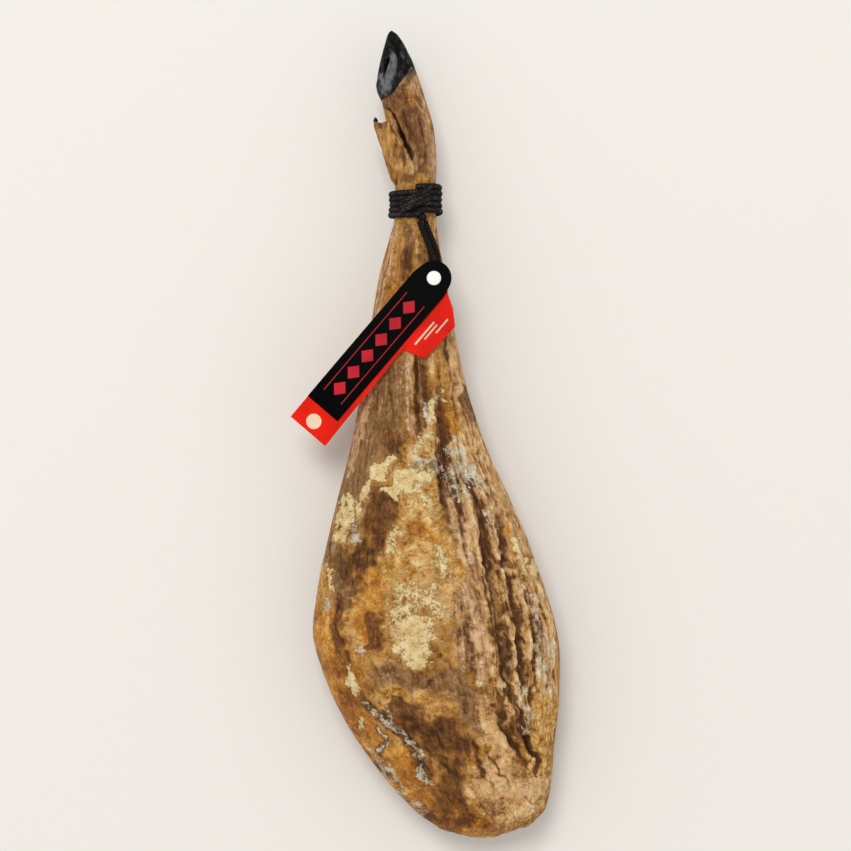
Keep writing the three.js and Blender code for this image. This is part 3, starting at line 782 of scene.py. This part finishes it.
# Painted shade in the folds and creases: darker as deep as they sink, nearly black at the bottom of the deep
# folds.
sunken = reading(rind, "sunken")
hollow = weighed(rind, sunken, (fine, 0.9), (raised, -0.9))
colour = blend(rind, stepped(rind, hollow, 0.3, 1.0, 0.8), colour, srgb(72, 38, 10))
colour = blend(rind, stepped(rind, sunken, 1.25, 1.5, 0.85), colour, srgb(22, 12, 5))
colour = blend(rind, sums(rind, "MULTIPLY", cracks, 0.4), colour, srgb(74, 38, 10))
specks = weighed(rind, 0.5, (fine, 1.0), (medium, 0.6))
colour = blend(rind, stepped(rind, specks, 0.26, 0.12, 0.5), colour, srgb(70, 42, 16))
grey = reading(rind, "grey")
mouldy = weighed(rind, grey, (fine, 3.2), (streaks, 1.2), (medium, 1.4), (raised, 0.7))
mould_cover = sums(rind, "MULTIPLY", stepped(rind, mouldy, 0.48, 0.8, 0.85), stepped(rind, grey, 0.04, 0.2))
colour = blend(rind, mould_cover, colour,
               tones(rind, vivid, (64, 50, 30), (146, 134, 108), (198, 188, 162), (230, 222, 198)))
creamy = reading(rind, "cream")
crusty = stepped(rind, weighed(rind, creamy, (fine, 1.8), (medium, 1.5)), 0.44, 0.56, 0.96)
crust_holes = sums(rind, "MULTIPLY_ADD", creamy, -0.1, grain(rind, where, 2.8, 3.0, 0.55))
crust_cover = sums(rind, "MULTIPLY", crusty, stepped(rind, crust_holes, 0.58, 0.535))
crust_cover = sums(rind, "MULTIPLY", crust_cover, stepped(rind, creamy, 0.06, 0.2))
colour = blend(rind, crust_cover, colour,
               tones(rind, tone, (184, 144, 84), (208, 174, 116), (226, 200, 144), (238, 220, 172)))
rind.links.new(colour, rind_shader.inputs["Base Color"])
greasy = stepped(rind, sums(rind, "MAXIMUM", reading(rind, "amber"), reading(rind, "dark")), 0.2, 0.7)
gloss = sums(rind, "SUBTRACT", 0.74, sums(rind, "MULTIPLY", greasy, 0.24))
gloss = sums(rind, "MULTIPLY_ADD", crust_cover, 0.2, gloss)
gloss = weighed(rind, gloss, (medium, 0.5))
rind.links.new(gloss, rind_shader.inputs["Roughness"])
skin = weighed(rind, 0.5, (streaks, 0.8), (fine, 0.9), (medium, 0.8))
skin = sums(rind, "MULTIPLY_ADD", cracks, -0.3, skin)
skin = sums(rind, "MULTIPLY_ADD", crust_cover, 0.35, skin)
bumped(rind, rind_shader, skin, 0.9, 1.6)
ham.data.materials.append(rind_paint)
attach(ham, "root")
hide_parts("ham")


# The dewclaw: dried skin that has shrunk off the back of the foot, and the horn tip that it ends in.
# A tongue of the same rind, split into two prongs; the outer prong carries a small blunt claw.
TONGUE = np.array([
    (-24, 240, -4, 240, 66, 60, 54),
    (-34, 254, -9, 256, 72, 61, 48),
    (-40, 272, -14, 271, 77, 63, 47),
    (-46, 291, -23, 289, 78, 64, 48),
    (-51, 305, -31, 303, 76, 64, 50),
    (-51.6, 310.8, -36, 312, 73, 64, 53),
], dtype=float)
TONGUE_SQUARENESS = 2.6
TONGUE_RINGS, TONGUE_OVER, TONGUE_BENEATH = 90, 40, 30
NOTCH_X, NOTCH_WIDTH, NOTCH_DEPTH = -43.4, 3.2, 5.6
CLAW_TIP = np.array([(0.4, 0.0), (2.2, 0.1), (2.4, 0.8), (2.1, 2.1), (1.4, 3.4), (0.8, 4.3), (0.2, 4.6)])
CLAW_TIP_PLACE = (-49.4, 311.4, 64)
CLAW_TIP_RINGS, CLAW_TIP_SIDES = 30, 36
CLAW_TIP_TALL = 2.0
CLAW_TIP_LEAN = 0.12

round_tongue = slice_angles(TONGUE_OVER, TONGUE_BENEATH)
t, angle = np.meshgrid(np.linspace(0, 1, TONGUE_RINGS), round_tongue, indexing="ij")
tongue = slice_points(TONGUE, t, angle, TONGUE_SQUARENESS, TONGUE_SQUARENESS)
notch = np.exp(-(((tongue[..., 0] - NOTCH_X) / NOTCH_WIDTH) ** 2)) * smooth(0.55, 1.0, t)
shrunk = random_field(tongue, (2.6, 14, 4), 41) + 0.5 * random_field(tongue, 5, 42) - 0.75
tongue += outward(tongue) * (shrunk * 1.1 * (1 - smooth(0.93, 1.0, t)))[..., None]
tongue[..., 1] -= NOTCH_DEPTH * notch
x, y = tongue[..., 0], tongue[..., 1]
dewclaw_skin = closed_mesh("dewclaw_skin", tongue)
mark(dewclaw_skin, "lie", tongue[..., [0, 2, 1]] * METRES)
# The tongue's tones follow its wrinkles: paler on the rises, and darker and ruddier in the dips, as painted
# shade. Its edge along the slit carries a painted highlight.
mark(dewclaw_skin, "raised", np.clip(0.5 + 0.5 * shrunk, 0, 1))
mark(dewclaw_skin, "pale_fat_and_lit_edge", 0.06 + 0.3 * shrunk + brushed(x, y, [(1.6, *SLIT_EDGE)]))
mark(dewclaw_skin, "ruddy", 0.5 - 0.5 * shrunk)
mark(dewclaw_skin, "dark", brushed(x, y, [(2, (-29.2, 287), (-28.6, 285))]))
mark(dewclaw_skin, "sunken", np.clip(-shrunk * 1.2, 0, 1))
dewclaw_skin.data.materials.append(rind_paint)
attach(dewclaw_skin, "root")


def round_profile(profile, sides):
    """A profile of radius and height turned round a circle: radius cos, radius sin and the height, each
    with a row for every point of the profile and a column for every side."""
    turn = 2 * np.pi * np.arange(sides) / sides
    radius, up = profile[:, :1], profile[:, 1:]
    return np.broadcast_arrays(radius * np.cos(turn), radius * np.sin(turn), up)


# The tip is turned about the leg's direction, stretched upwards and leant in the plane of the table.
tip_profile = curve_through(CLAW_TIP, np.linspace(0, 1, CLAW_TIP_RINGS))
across, rise, along = round_profile(tip_profile, CLAW_TIP_SIDES)
cosine, sine = math.cos(CLAW_TIP_LEAN), math.sin(CLAW_TIP_LEAN)
tilt = np.array([[cosine, sine, 0], [-sine, cosine, 0], [0, 0, 1]])
tip = np.stack([across, along, CLAW_TIP_TALL * rise], axis=-1) @ tilt + CLAW_TIP_PLACE
dewclaw = closed_mesh("dewclaw_horn", tip)

horn_paint, horn, horn_shader = paint("horn")
where = add(horn, "ShaderNodeTexCoord").outputs["Object"]
wear_and_sheen = grain(horn, where, 5.0, 6.0, 0.65, (1, 1.4, 1))
ridges = grain(horn, where, 1.6, 4.0, 0.6, (1, 6, 1))
shade = blend(horn, stepped(horn, wear_and_sheen, 0.4, 0.75), srgb(3, 3, 4), srgb(26, 26, 28))
# Painted highlight: a soft grey where light falls on each claw's face along its ridge.
lit = weighed(horn, reading(horn, "painted_highlight"), (wear_and_sheen, 2.0), (ridges, 1.2))
shade = blend(horn, stepped(horn, lit, 0.0, 1.35, 0.92), shade, srgb(122, 121, 123))
dust = grain(horn, where, 1.1, 3.0, 0.6)
shade = blend(horn, stepped(horn, dust, 0.62, 0.74, 0.4), shade, srgb(120, 118, 116))
# Painted shade: the claws' hollows darkened nearly to black.
shade = blend(horn, stepped(horn, reading(horn, "hollow"), 0.15, 0.6, 0.9), shade, srgb(4, 4, 5))
quick = weighed(horn, reading(horn, "quick"), (wear_and_sheen, 0.9), (ridges, 0.5))
shade = blend(horn, stepped(horn, quick, 0.4, 0.9, 0.75), shade, srgb(104, 92, 66))
horn.links.new(shade, horn_shader.inputs["Base Color"])
horn_shader.inputs["Specular IOR Level"].default_value = 0.08
horn.links.new(sums(horn, "MULTIPLY_ADD", wear_and_sheen, 0.5, 0.25), horn_shader.inputs["Roughness"])
scratched = sums(horn, "MULTIPLY_ADD", ridges, 0.5, wear_and_sheen)
bumped(horn, horn_shader, scratched, 0.7, 0.8)
dewclaw.data.materials.append(horn_paint)
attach(dewclaw, "root")
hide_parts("dewclaw")


# The two claws: black horn, each a curved cone over the last bone of its toe.
# They grow from the skin's rim with fine rings along them, and their outer faces have shrunk hollow beside a
# worn ridge. A narrow cleft parts them.
# Their colour has a painted highlight on the face along the ridge and painted shade in the hollows.
CLAW = np.array([
    (-42.3, 326, -0.8, 339, 19.5, 1.5, 0),
    (-44.4, 334.5, -10.3, 366.6, 17.2, 3, 0),
    (-49, 346, -13.5, 374.5, 18, 4, 0),
    (-48, 357, -17.5, 382.5, 17, 4, 0),
    (-45, 373, -22, 391.5, 14, 3.5, 0),
    (-41, 389, -27.5, 399.5, 9.5, 3, 0.5),
    (-37.5, 400, -32, 403, 5, 2.7, 1.4),
    (-34.3, 404.3, -34.3, 404.3, 2.5, 2.5, 2.5),
], dtype=float)
CLAW_UPPER_SQUARENESS, CLAW_LOWER_SQUARENESS = 2.4, 5.0
CLAW_RINGS, CLAW_OVER, CLAW_BENEATH = 116, 70, 30
GROWN_RINGS, GROWN_HEIGHT = 17, 0.18
CLAW_END = 0.994  # just short of the point
LAP, LAP_AT, LAP_WIDTH = 0.32, 2.0, 0.5
CLEFT_HEIGHT = 50.0
CLEFT_HALF = 0.8
CLAW_RIDGE = [(-36, 386), (-31.2, 374.7), (-36.1, 364.9), (-38.2, 354.4), (-42, 345)]
CLAW_HOLLOWS = [
    (5.5, 1.9, (-36.6, 377), (-38.9, 368.4), (-42.3, 359)),
    (3.4, 2.8, (-31, 396), (-28.6, 382), (-25, 371), (-29.3, 353), (-36, 340)),
    (-1.6, 2.4, *CLAW_RIDGE),
]
# The claws' lit faces, where a painted highlight lies: width, then the line's points.
LIT_FACE = [(5.4, (-30.5, 376), (-33, 364), (-37, 354), (-41, 344)), (3, (-45, 358), (-43, 350))]
QUICK = [(3, (-13, 364), (-19, 354), (-24, 347))]


def claw_rings(side):
    """A claw's loft from the skin's rim, where its edge laps over the skin by exp(-(turn / width) squared),
    with hollows and a ridge along drawn lines and grown rings as a sine along it. Side 1 is above
    the cleft and -1 below. With the rings come where the painted highlight lies, how near the quick
    each place is, and how hollow it is, for painted shade."""
    round_claw = slice_angles(CLAW_OVER, CLAW_BENEATH)
    share, angle = np.meshgrid(np.linspace(0, CLAW_END, CLAW_RINGS), round_claw, indexing="ij")
    start = (1 - LAP * np.exp(-(((angle - LAP_AT) / LAP_WIDTH) ** 2))) / (len(CLAW) - 1)
    t = start + (1 - start) * share
    claw = slice_points(CLAW, t, angle, CLAW_UPPER_SQUARENESS, CLAW_LOWER_SQUARENESS)
    x, y = claw[..., 0], claw[..., 1]
    over = smooth(0.1, 0.6, np.sin(angle)) * smooth(0.12, 0.32, t) * (1 - smooth(0.9, 1.0, t))
    carved = sunk(x, y, CLAW_HOLLOWS, 0.25) * over
    uneven = random_field(claw, 5, 51) + 0.5 * random_field(claw, (1.5, 6, 1.5), 52) - 0.75
    grown = GROWN_HEIGHT * np.sin(2 * np.pi * t * GROWN_RINGS + 4 * uneven)
    claw = claw + outward(claw) * (carved + (0.2 + 0.5 * over) * (1.3 * uneven + grown))[..., None]
    claw[..., 2] = np.maximum(claw[..., 2], 0.0)
    claw[..., 2] = CLEFT_HEIGHT + side * (claw[..., 2] + CLEFT_HALF)
    # A painted highlight on the lit face's upper side, varied at random.
    painted_highlight = 0.94 * brushed(x, y, LIT_FACE) * smooth(0, 0.4, np.sin(angle)) + 0.4 * uneven
    quick = brushed(x, y, QUICK) * smooth(0, 0.3, np.sin(angle))
    made = (claw, painted_highlight, quick, np.clip(-carved / 4, 0, 1))
    return made if side > 0 else tuple(rings[:, ::-1] for rings in made)


for node, side in (("claw_near", 1), ("claw_far", -1)):
    rings, painted_highlight, quick, hollow = claw_rings(side)
    claw = closed_mesh(node + "_horn", rings)
    mark(claw, "painted_highlight", painted_highlight)
    mark(claw, "quick", quick)
    mark(claw, "hollow", hollow)
    claw.data.materials.append(horn_paint)
    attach(claw, "root")
    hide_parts(node)


# The rope round the shank: five turns of black laid cord, drawn tight, with three turns crossed over them.
# Three yarns are twisted into it, and it ends in the knot that the label hangs from.
ROPE_RADIUS = 3.3
GAP = 0.3
WRAP_TURNS = 5
WRAP_LENGTH = 30.0
WRAP_SLANT = 1.2
WRAP_GATHER = 0.07
WRAP_RADIUS = 0.95 * ROPE_RADIUS
WRAP_UNEVEN = 0.35
LAY_LENGTH = 11.0
ROPE_SIDES = 18
ROPE_SPACING = 0.9
ROPE_LIFT = ROPE_RADIUS + GAP
WRAP_POINTS, CROSSING_POINTS, KNOT_POINTS = 700, 60, 90
# Each crossing: where it starts and how far it drops over the turns, the angle that it starts at and how far
# round it goes in degrees, and how many times the rope's radius it rises over them.
CROSSINGS = [(246.0, 19.0, 52, 72, 1.5), (240.4, 17.0, 54, 69, 1.35), (234.8, 15.0, 56, 66, 1.2)]
KNOT_RADIUS = 2.9
KNOT_PLACE = (-7, 220.5, 84.2)
KNOT_TURNS = 1.35
SHANK_MIDDLE = (-10.0, 0.0, 57.0)


def off_shank(y, angle, lift):
    """A place off the shank's skin: on the slice at y, found on the slices' own line, and then out by lift
    across the line from the place just behind to the place just ahead."""
    shank = even[even > 0.6]
    at = np.interp(y, curve_through(SLICES, shank)[:, 1], shank)
    skin = slice_points(SLICES, at, angle, UPPER_SQUARENESS, LOWER_SQUARENESS)
    ahead = slice_points(SLICES, at, angle + 0.02, UPPER_SQUARENESS, LOWER_SQUARENESS)
    behind = slice_points(SLICES, at, angle - 0.02, UPPER_SQUARENESS, LOWER_SQUARENESS)
    step = (ahead - behind)[..., [0, 2]]
    step /= np.linalg.norm(step, axis=-1, keepdims=True)
    return np.stack([skin[..., 0] + step[..., 1] * lift, y, skin[..., 2] - step[..., 0] * lift], axis=-1)


def laid_rope(name, path, radius, wear_and_sheen=1.0):
    """A twisted cord along a path: even steps along it, and at each a ring in the plane across the path. The
    ring's radius swells three times round and turns once every lay length. Its side away from the shank is
    marked for a painted highlight, as strong as given, and the grooves between its strands for painted
    shade. With the cord comes its middle line."""
    steps = np.linalg.norm(np.diff(path, axis=0), axis=1)
    far = np.concatenate([[0], np.cumsum(steps)])
    count = int(far[-1] / ROPE_SPACING) + 2
    at = np.linspace(0, far[-1], count)
    line = np.stack([np.interp(at, far, path[:, k]) for k in range(3)], axis=-1)
    ahead = np.gradient(line, axis=0)
    ahead /= np.linalg.norm(ahead, axis=-1, keepdims=True)
    side = np.zeros_like(ahead)
    side[0] = np.cross(ahead[0], (0.3, 0.2, 0.93))
    for k in range(1, count):
        side[k] = side[k - 1] - ahead[k] * (side[k - 1] @ ahead[k])
        side[k] /= np.linalg.norm(side[k])
    side[0] /= np.linalg.norm(side[0])
    up = np.cross(ahead, side)
    around = 2 * np.pi * np.arange(ROPE_SIDES) / ROPE_SIDES
    turn = 2 * np.pi * at / LAY_LENGTH
    lobes = np.abs(np.cos(1.5 * (around[None, :] - turn[:, None])))
    ends = 0.4 + 0.6 * np.sqrt(np.clip(np.minimum(at, far[-1] - at) / (0.8 * radius), 0.02, 1))
    reach = radius * (0.74 + 0.28 * lobes ** 0.7) * ends[:, None]
    rings = line[:, None] + reach[..., None] * (
        side[:, None] * np.cos(around)[None, :, None] + up[:, None] * np.sin(around)[None, :, None])
    made = closed_mesh(name, rings[:, ::-1])
    # Between the strands is marked for painted shade.
    mark(made, "between_strands", 1 - lobes[:, ::-1])
    # The side away from the shank is marked for a painted highlight.
    away = (line - SHANK_MIDDLE) * (1, 0, 1)
    away /= np.linalg.norm(away, axis=-1, keepdims=True)
    outer = ((rings - line[:, None]) / reach[..., None] * away[:, None]).sum(axis=-1)
    mark(made, "outer", wear_and_sheen * np.clip(outer, 0, 1)[:, ::-1])
    return made, line


rope_paint, rope, rope_shader = paint("rope", 0.85)
where = add(rope, "ShaderNodeTexCoord").outputs["Object"]
yarn = grain(rope, where, 0.7, 4.0, 0.7)
sheen_patches = grain(rope, where, 6.0, 4.0, 0.6)
cord_colour = blend(rope, stepped(rope, yarn, 0.35, 0.75), srgb(4, 3, 3), srgb(42, 36, 33))
# Painted highlight: the side away from the shank is lighter, in patches.
outer_highlight = weighed(rope, reading(rope, "outer"), (sheen_patches, 1.8), (yarn, 1.0))
cord_colour = blend(rope, stepped(rope, outer_highlight, 0.8, 1.3, 0.8), cord_colour, srgb(80, 71, 67))
# Painted shade: the grooves between the strands darkened nearly to black.
cord_colour = blend(rope, stepped(rope, reading(rope, "between_strands"), 0.2, 0.8, 0.95), cord_colour, srgb(3, 2, 2))
rope.links.new(cord_colour, rope_shader.inputs["Base Color"])
rope_shader.inputs["Specular IOR Level"].default_value = 0.2
bumped(rope, rope_shader, yarn, 0.9, 0.5)

share = np.linspace(0, 1, WRAP_POINTS)
wound = 2 * np.pi * WRAP_TURNS * share + np.pi / 2
gathered = 1 - WRAP_GATHER * (1 - np.cos(wound))
wrap_y = ROPE_MIDDLE + WRAP_LENGTH * (share - 0.5) * gathered + WRAP_SLANT * np.cos(wound)
wrap_path = off_shank(wrap_y, wound, ROPE_LIFT + WRAP_UNEVEN * np.sin(2.3 * wound))
wrap, _ = laid_rope("rope_turns", wrap_path, WRAP_RADIUS)
share = np.linspace(0, 1, CROSSING_POINTS)
crossings = []
for k, (start, drop, from_angle, sweep, rise) in enumerate(CROSSINGS):
    over_turns = rise * ROPE_RADIUS * np.sin(np.pi * share) ** 0.7
    turned = np.radians(from_angle + sweep * share)
    crossing_path = off_shank(start - drop * share, turned, ROPE_LIFT + over_turns)
    crossings.append(laid_rope(f"rope_crossing_{k}", crossing_path, ROPE_RADIUS)[0])
share = np.linspace(0, 1, KNOT_POINTS)
knotted = 2 * np.pi * KNOT_TURNS * share - 0.6
knot_path = np.stack([
    4.6 * np.cos(knotted) + 1.6 * share,
    1.2 * np.sin(knotted * 2) - 7.5 * share,
    3.4 * np.sin(knotted),
], axis=-1) + KNOT_PLACE
knot, _ = laid_rope("rope_knot", knot_path, KNOT_RADIUS)
for piece in (wrap, *crossings, knot):
    piece.data.materials.append(rope_paint)
    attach(piece, "root")
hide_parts("rope_wrap")


# The two strands that the label hangs by: the rope's own ends, led from the knot to under the label's head.
# Loose pieces of the same black cord, lying on the shank.
STRAND_RADIUS = 2.9
STRAND_POINTS = 120
# How strong the painted highlight is on the strands' outer sides.
STRAND_SHEEN = 0.6
STRANDS = {
    "tag_strand_near": [
        (-6.4, 211, 84.2), (-3.7, 205, 83.1), (-0.5, 197, 83),
        (3.3, 187, 83.2), (6.1, 178, 83.7), (7.5, 167.5, 84.6),
    ],
    "tag_strand_far": [
        (-0.3, 211.5, 81.6), (2.4, 204, 79.8), (6, 195, 79.7),
        (9.8, 185, 80), (12.4, 176, 80.6), (13.2, 166.5, 81.6),
    ],
}
for node, points in STRANDS.items():
    route = curve_through(np.array(points, dtype=float), np.linspace(0, 1, STRAND_POINTS))
    strand, line = laid_rope(node + "_cord", route, STRAND_RADIUS, STRAND_SHEEN)
    strand.data.materials.append(rope_paint)
    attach(strand, "root")
    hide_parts(node)


# The label: three printed cards on one snap, a black one over a red one over a smaller red one.
# Coated board half a millimetre thick; the print is plain bars and shapes, pressed on as foil.
SNAP = (8.5, 153.9)
CARD_ANGLE = math.atan2(-0.7605, -0.6493)
CARD_THICK = 0.5
CARD_SPACING = 1.0
CARD_BASE, CARD_RISE, CARD_ROLL = 89.8, 0.045, 0.09
DROOP_FROM, DROOP = 80.0, 0.0011
HEAD_RADIUS = 17.4
BLACK_END, BLACK_HALF = 169.2, 19.4
RED_END, RED_LEFT, RED_RIGHT = 195.9, -19.2, 26
FOIL = 0.06
FOIL_GAP = 0.02
SHEET_ROWS = 60
SHEET_COLUMNS = 10
SHEET_INSET = 0.001  # how far the first and last rows stay from an outline's ends, which may be points


def card_height(s, w):
    """A card's height: its base, plus slopes down and across it, less the square of how far it overhangs."""
    beyond = np.maximum(0, s - DROOP_FROM)
    return CARD_BASE + CARD_RISE * s + CARD_ROLL * w - DROOP * beyond ** 2


def laid(flat, lift):
    """Flat points, s down the card and w across it, turned to the way it points and laid at its height."""
    s, w = flat[:, 0], flat[:, 1]
    cosine, sine = math.cos(CARD_ANGLE), math.sin(CARD_ANGLE)
    x = SNAP[0] + s * cosine - w * sine
    y = SNAP[1] + s * sine + w * cosine
    return np.stack([x, y, card_height(s, w) + lift], axis=-1)


def sheet_of(name, corners, lift, thick):
    """A flat outline filled by rows of quads between its left and right edges at each s, laid and given its
    thickness. Rows lie at every corner and between. The snap's hole isn't cut, as the snap fills it."""
    outline = np.array(corners, dtype=float)
    between = np.linspace(outline[:, 0].min(), outline[:, 0].max(), SHEET_ROWS)
    rows = np.unique(np.round(np.concatenate([outline[:, 0], between]), 3))
    rows[0] += SHEET_INSET
    rows[-1] -= SHEET_INSET
    closed = np.vstack([outline, outline[:1]])
    edges = []
    for s in rows:
        a, b = closed[:-1], closed[1:]
        spans = (a[:, 0] - s) * (b[:, 0] - s) <= 0
        spans &= np.abs(b[:, 0] - a[:, 0]) > 1e-9
        share = (s - a[spans, 0]) / (b[spans, 0] - a[spans, 0])
        crossings = a[spans, 1] + share * (b[spans, 1] - a[spans, 1])
        edges.append((crossings.min(), crossings.max()))
    edges = np.array(edges)
    across = SHEET_COLUMNS + 1
    w = edges[:, :1] + (edges[:, 1:] - edges[:, :1]) * np.linspace(0, 1, across)
    flat = np.stack([np.repeat(rows, across), w.ravel()], axis=-1)
    top, bottom = laid(flat, lift + thick), laid(flat, lift)
    count = len(flat)
    grid = np.arange(count).reshape(-1, across)
    a = grid[:-1, :-1].ravel()
    upper = np.stack([a, a + across, a + across + 1, a + 1], axis=-1)
    lower = upper[:, ::-1] + count
    rim = np.concatenate([grid[0, :-1], grid[:-1, -1], grid[-1, :0:-1], grid[:0:-1, 0]])
    following = np.roll(rim, -1)
    wall = np.stack([rim, following, following + count, rim + count], axis=-1)
    mesh = bpy.data.meshes.new(name)
    points = np.concatenate([top, bottom]) * METRES
    mesh.from_pydata(points.tolist(), [], [*upper.tolist(), *lower.tolist(), *wall.tolist()])
    mesh.validate()
    made = bpy.data.objects.new(name, mesh)
    bpy.context.scene.collection.objects.link(made)
    return made


def arc(radius, start, stop, parts):
    """Points of a circle about 0, 0, from one angle to another: radius cos and radius sin."""
    turn = np.linspace(start, stop, parts + 1)
    return [(radius * math.cos(a), radius * math.sin(a)) for a in turn]


def printed(name, screen_colour, roughness):
    """Coated board: one ink, a little darker in clouds, with a faint paper grain in its surface."""
    material, tree, shader = paint(name, roughness)
    shader.inputs["Specular IOR Level"].default_value = 0.03
    where = add(tree, "ShaderNodeTexCoord").outputs["Object"]
    fleck = grain(tree, where, 0.8, 3.0, 0.6)
    cloud = grain(tree, where, 30.0, 3.0, 0.5)
    darker = tuple(0.86 * c for c in screen_colour)
    ink = blend(tree, stepped(tree, cloud, 0.3, 0.7), srgb(*darker), srgb(*screen_colour))
    tree.links.new(ink, shader.inputs["Base Color"])
    bumped(tree, shader, fleck, 0.25, 0.1)
    return material


black_ink = printed("black_board", (3, 3, 4), 0.55)
red_ink = printed("red_board", (232, 34, 20), 0.5)
cream_ink = printed("cream_print", (236, 206, 176), 0.6)
crimson_ink = printed("crimson_print", (196, 38, 52), 0.5)

black_outline = [
    (BLACK_END, -BLACK_HALF), (BLACK_END, BLACK_HALF), (7, BLACK_HALF),
    *arc(HEAD_RADIUS, math.pi * 0.58, math.pi * 1.42, 24), (7, -BLACK_HALF),
]
red_outline = [
    (RED_END, RED_LEFT), (RED_END, RED_RIGHT), (60, 22.5), (9, 14),
    *arc(HEAD_RADIUS - 3, math.pi * 0.6, math.pi * 1.4, 16), (9, -14), (60, RED_LEFT),
]
side_outline = [
    (73.5, 24), (66, 45), (23, 47.2), (10, 33), (3.8, 22), (-3, 13), (-11, 6), (-11, -6), (6, -13), (72, -10),
]
cards = [
    ("card_black_board", "card_black", black_outline, 2, black_ink, "black_card"),
    ("card_red_board", "card_red", red_outline, 1, red_ink, "red_card"),
    ("card_side_board", "card_side", side_outline, 0, red_ink, "red_card"),
]
for name, node, outline, level, ink, slot_name in cards:
    card = sheet_of(name, outline, level * CARD_SPACING, CARD_THICK)
    card.data.materials.append(ink)
    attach(card, "root")
    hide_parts(node)


def foil(name, corners, level, ink):
    """A printed mark: a thin flat shape just above its card."""
    made = sheet_of(name, corners, level * CARD_SPACING + CARD_THICK + FOIL_GAP, FOIL)
    made.data.materials.append(ink)
    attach(made, "root")


LOZENGES = 6
LOZENGE_FROM, LOZENGE_STEP = 38, 21
LOZENGE_LONG, LOZENGE_WIDE = 8.5, 7.5  # half of its length and of its width
DISC_MIDDLE = (184.5, 1.5)
DISC_RADIUS = 7.6
for k in range(LOZENGES):
    s = LOZENGE_FROM + LOZENGE_STEP * k
    corners = [(s - LOZENGE_LONG, 0), (s, -LOZENGE_WIDE), (s + LOZENGE_LONG, 0), (s, LOZENGE_WIDE)]
    foil(f"print_lozenge_{k}", corners, 2, crimson_ink)
# Each rule and bar of print: its card's level and ink, from where to where down the card, and across it.
for name, level, ink, slot_name, near, far, low, high in (
    ("print_rule_left", 2, crimson_ink, "red_card", 28, 154, -11.5, -10.7),
    ("print_rule_right", 2, crimson_ink, "red_card", 28, 154, 10.7, 11.5),
    ("print_bar_long", 0, cream_ink, "snap", 33, 62, 27.5, 29.3),
    ("print_bar_short", 0, cream_ink, "snap", 33, 52, 31.5, 33),
    ("print_bar_edge", 0, cream_ink, "snap", 22, 40, 36, 37.6),
):
    foil(name, [(near, low), (far, low), (far, high), (near, high)], level, ink)
disc = [(DISC_MIDDLE[0] + s, DISC_MIDDLE[1] + w) for s, w in arc(DISC_RADIUS, 0, 2 * math.pi, 32)[:-1]]
foil("print_disc", disc, 1, cream_ink)


# The snap: a white plastic stud pressed through the cards' holes into a barrel beneath.
# It has a low domed head, and the barrel holds the two strands.
SNAP_PROFILE = np.array([
    (0.5, -4.9), (5.4, -4.9), (5.6, -4.7), (5.6, -0.5), (5.4, -0.3), (2.7, -0.3), (2.7, 2.8),
    (6.9, 2.8), (7.1, 3.0), (7.0, 3.6), (6.2, 4.1), (3.0, 4.3), (0.5, 4.35),
])
SNAP_SIDES = 56
SNAP_STEPS = 4  # parts that each line of the profile is split into
lines = zip(SNAP_PROFILE[:-1], SNAP_PROFILE[1:])
dense_profile = np.concatenate([np.linspace(a, b, SNAP_STEPS + 1)[:-1] for a, b in lines])
down, across, up = round_profile(dense_profile, SNAP_SIDES)
flat = np.stack([down.ravel(), across.ravel()], axis=-1)
rings = laid(flat, 0.0).reshape(*down.shape, 3)
rings[..., 2] += up
snap = closed_mesh("card_snap_stud", rings[:, ::-1])
snap_paint, snap_tree, snap_shader = paint("snap_plastic", 0.4)
where = add(snap_tree, "ShaderNodeTexCoord").outputs["Object"]
scuff = grain(snap_tree, where, 3.0, 4.0, 0.6)
plastic = blend(snap_tree, stepped(snap_tree, scuff, 0.4, 0.75), srgb(240, 236, 230), srgb(226, 220, 212))
snap_tree.links.new(plastic, snap_shader.inputs["Base Color"])
snap.data.materials.append(snap_paint)
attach(snap, "root")
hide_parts("card_snap")

bpy.context.view_layer.update()
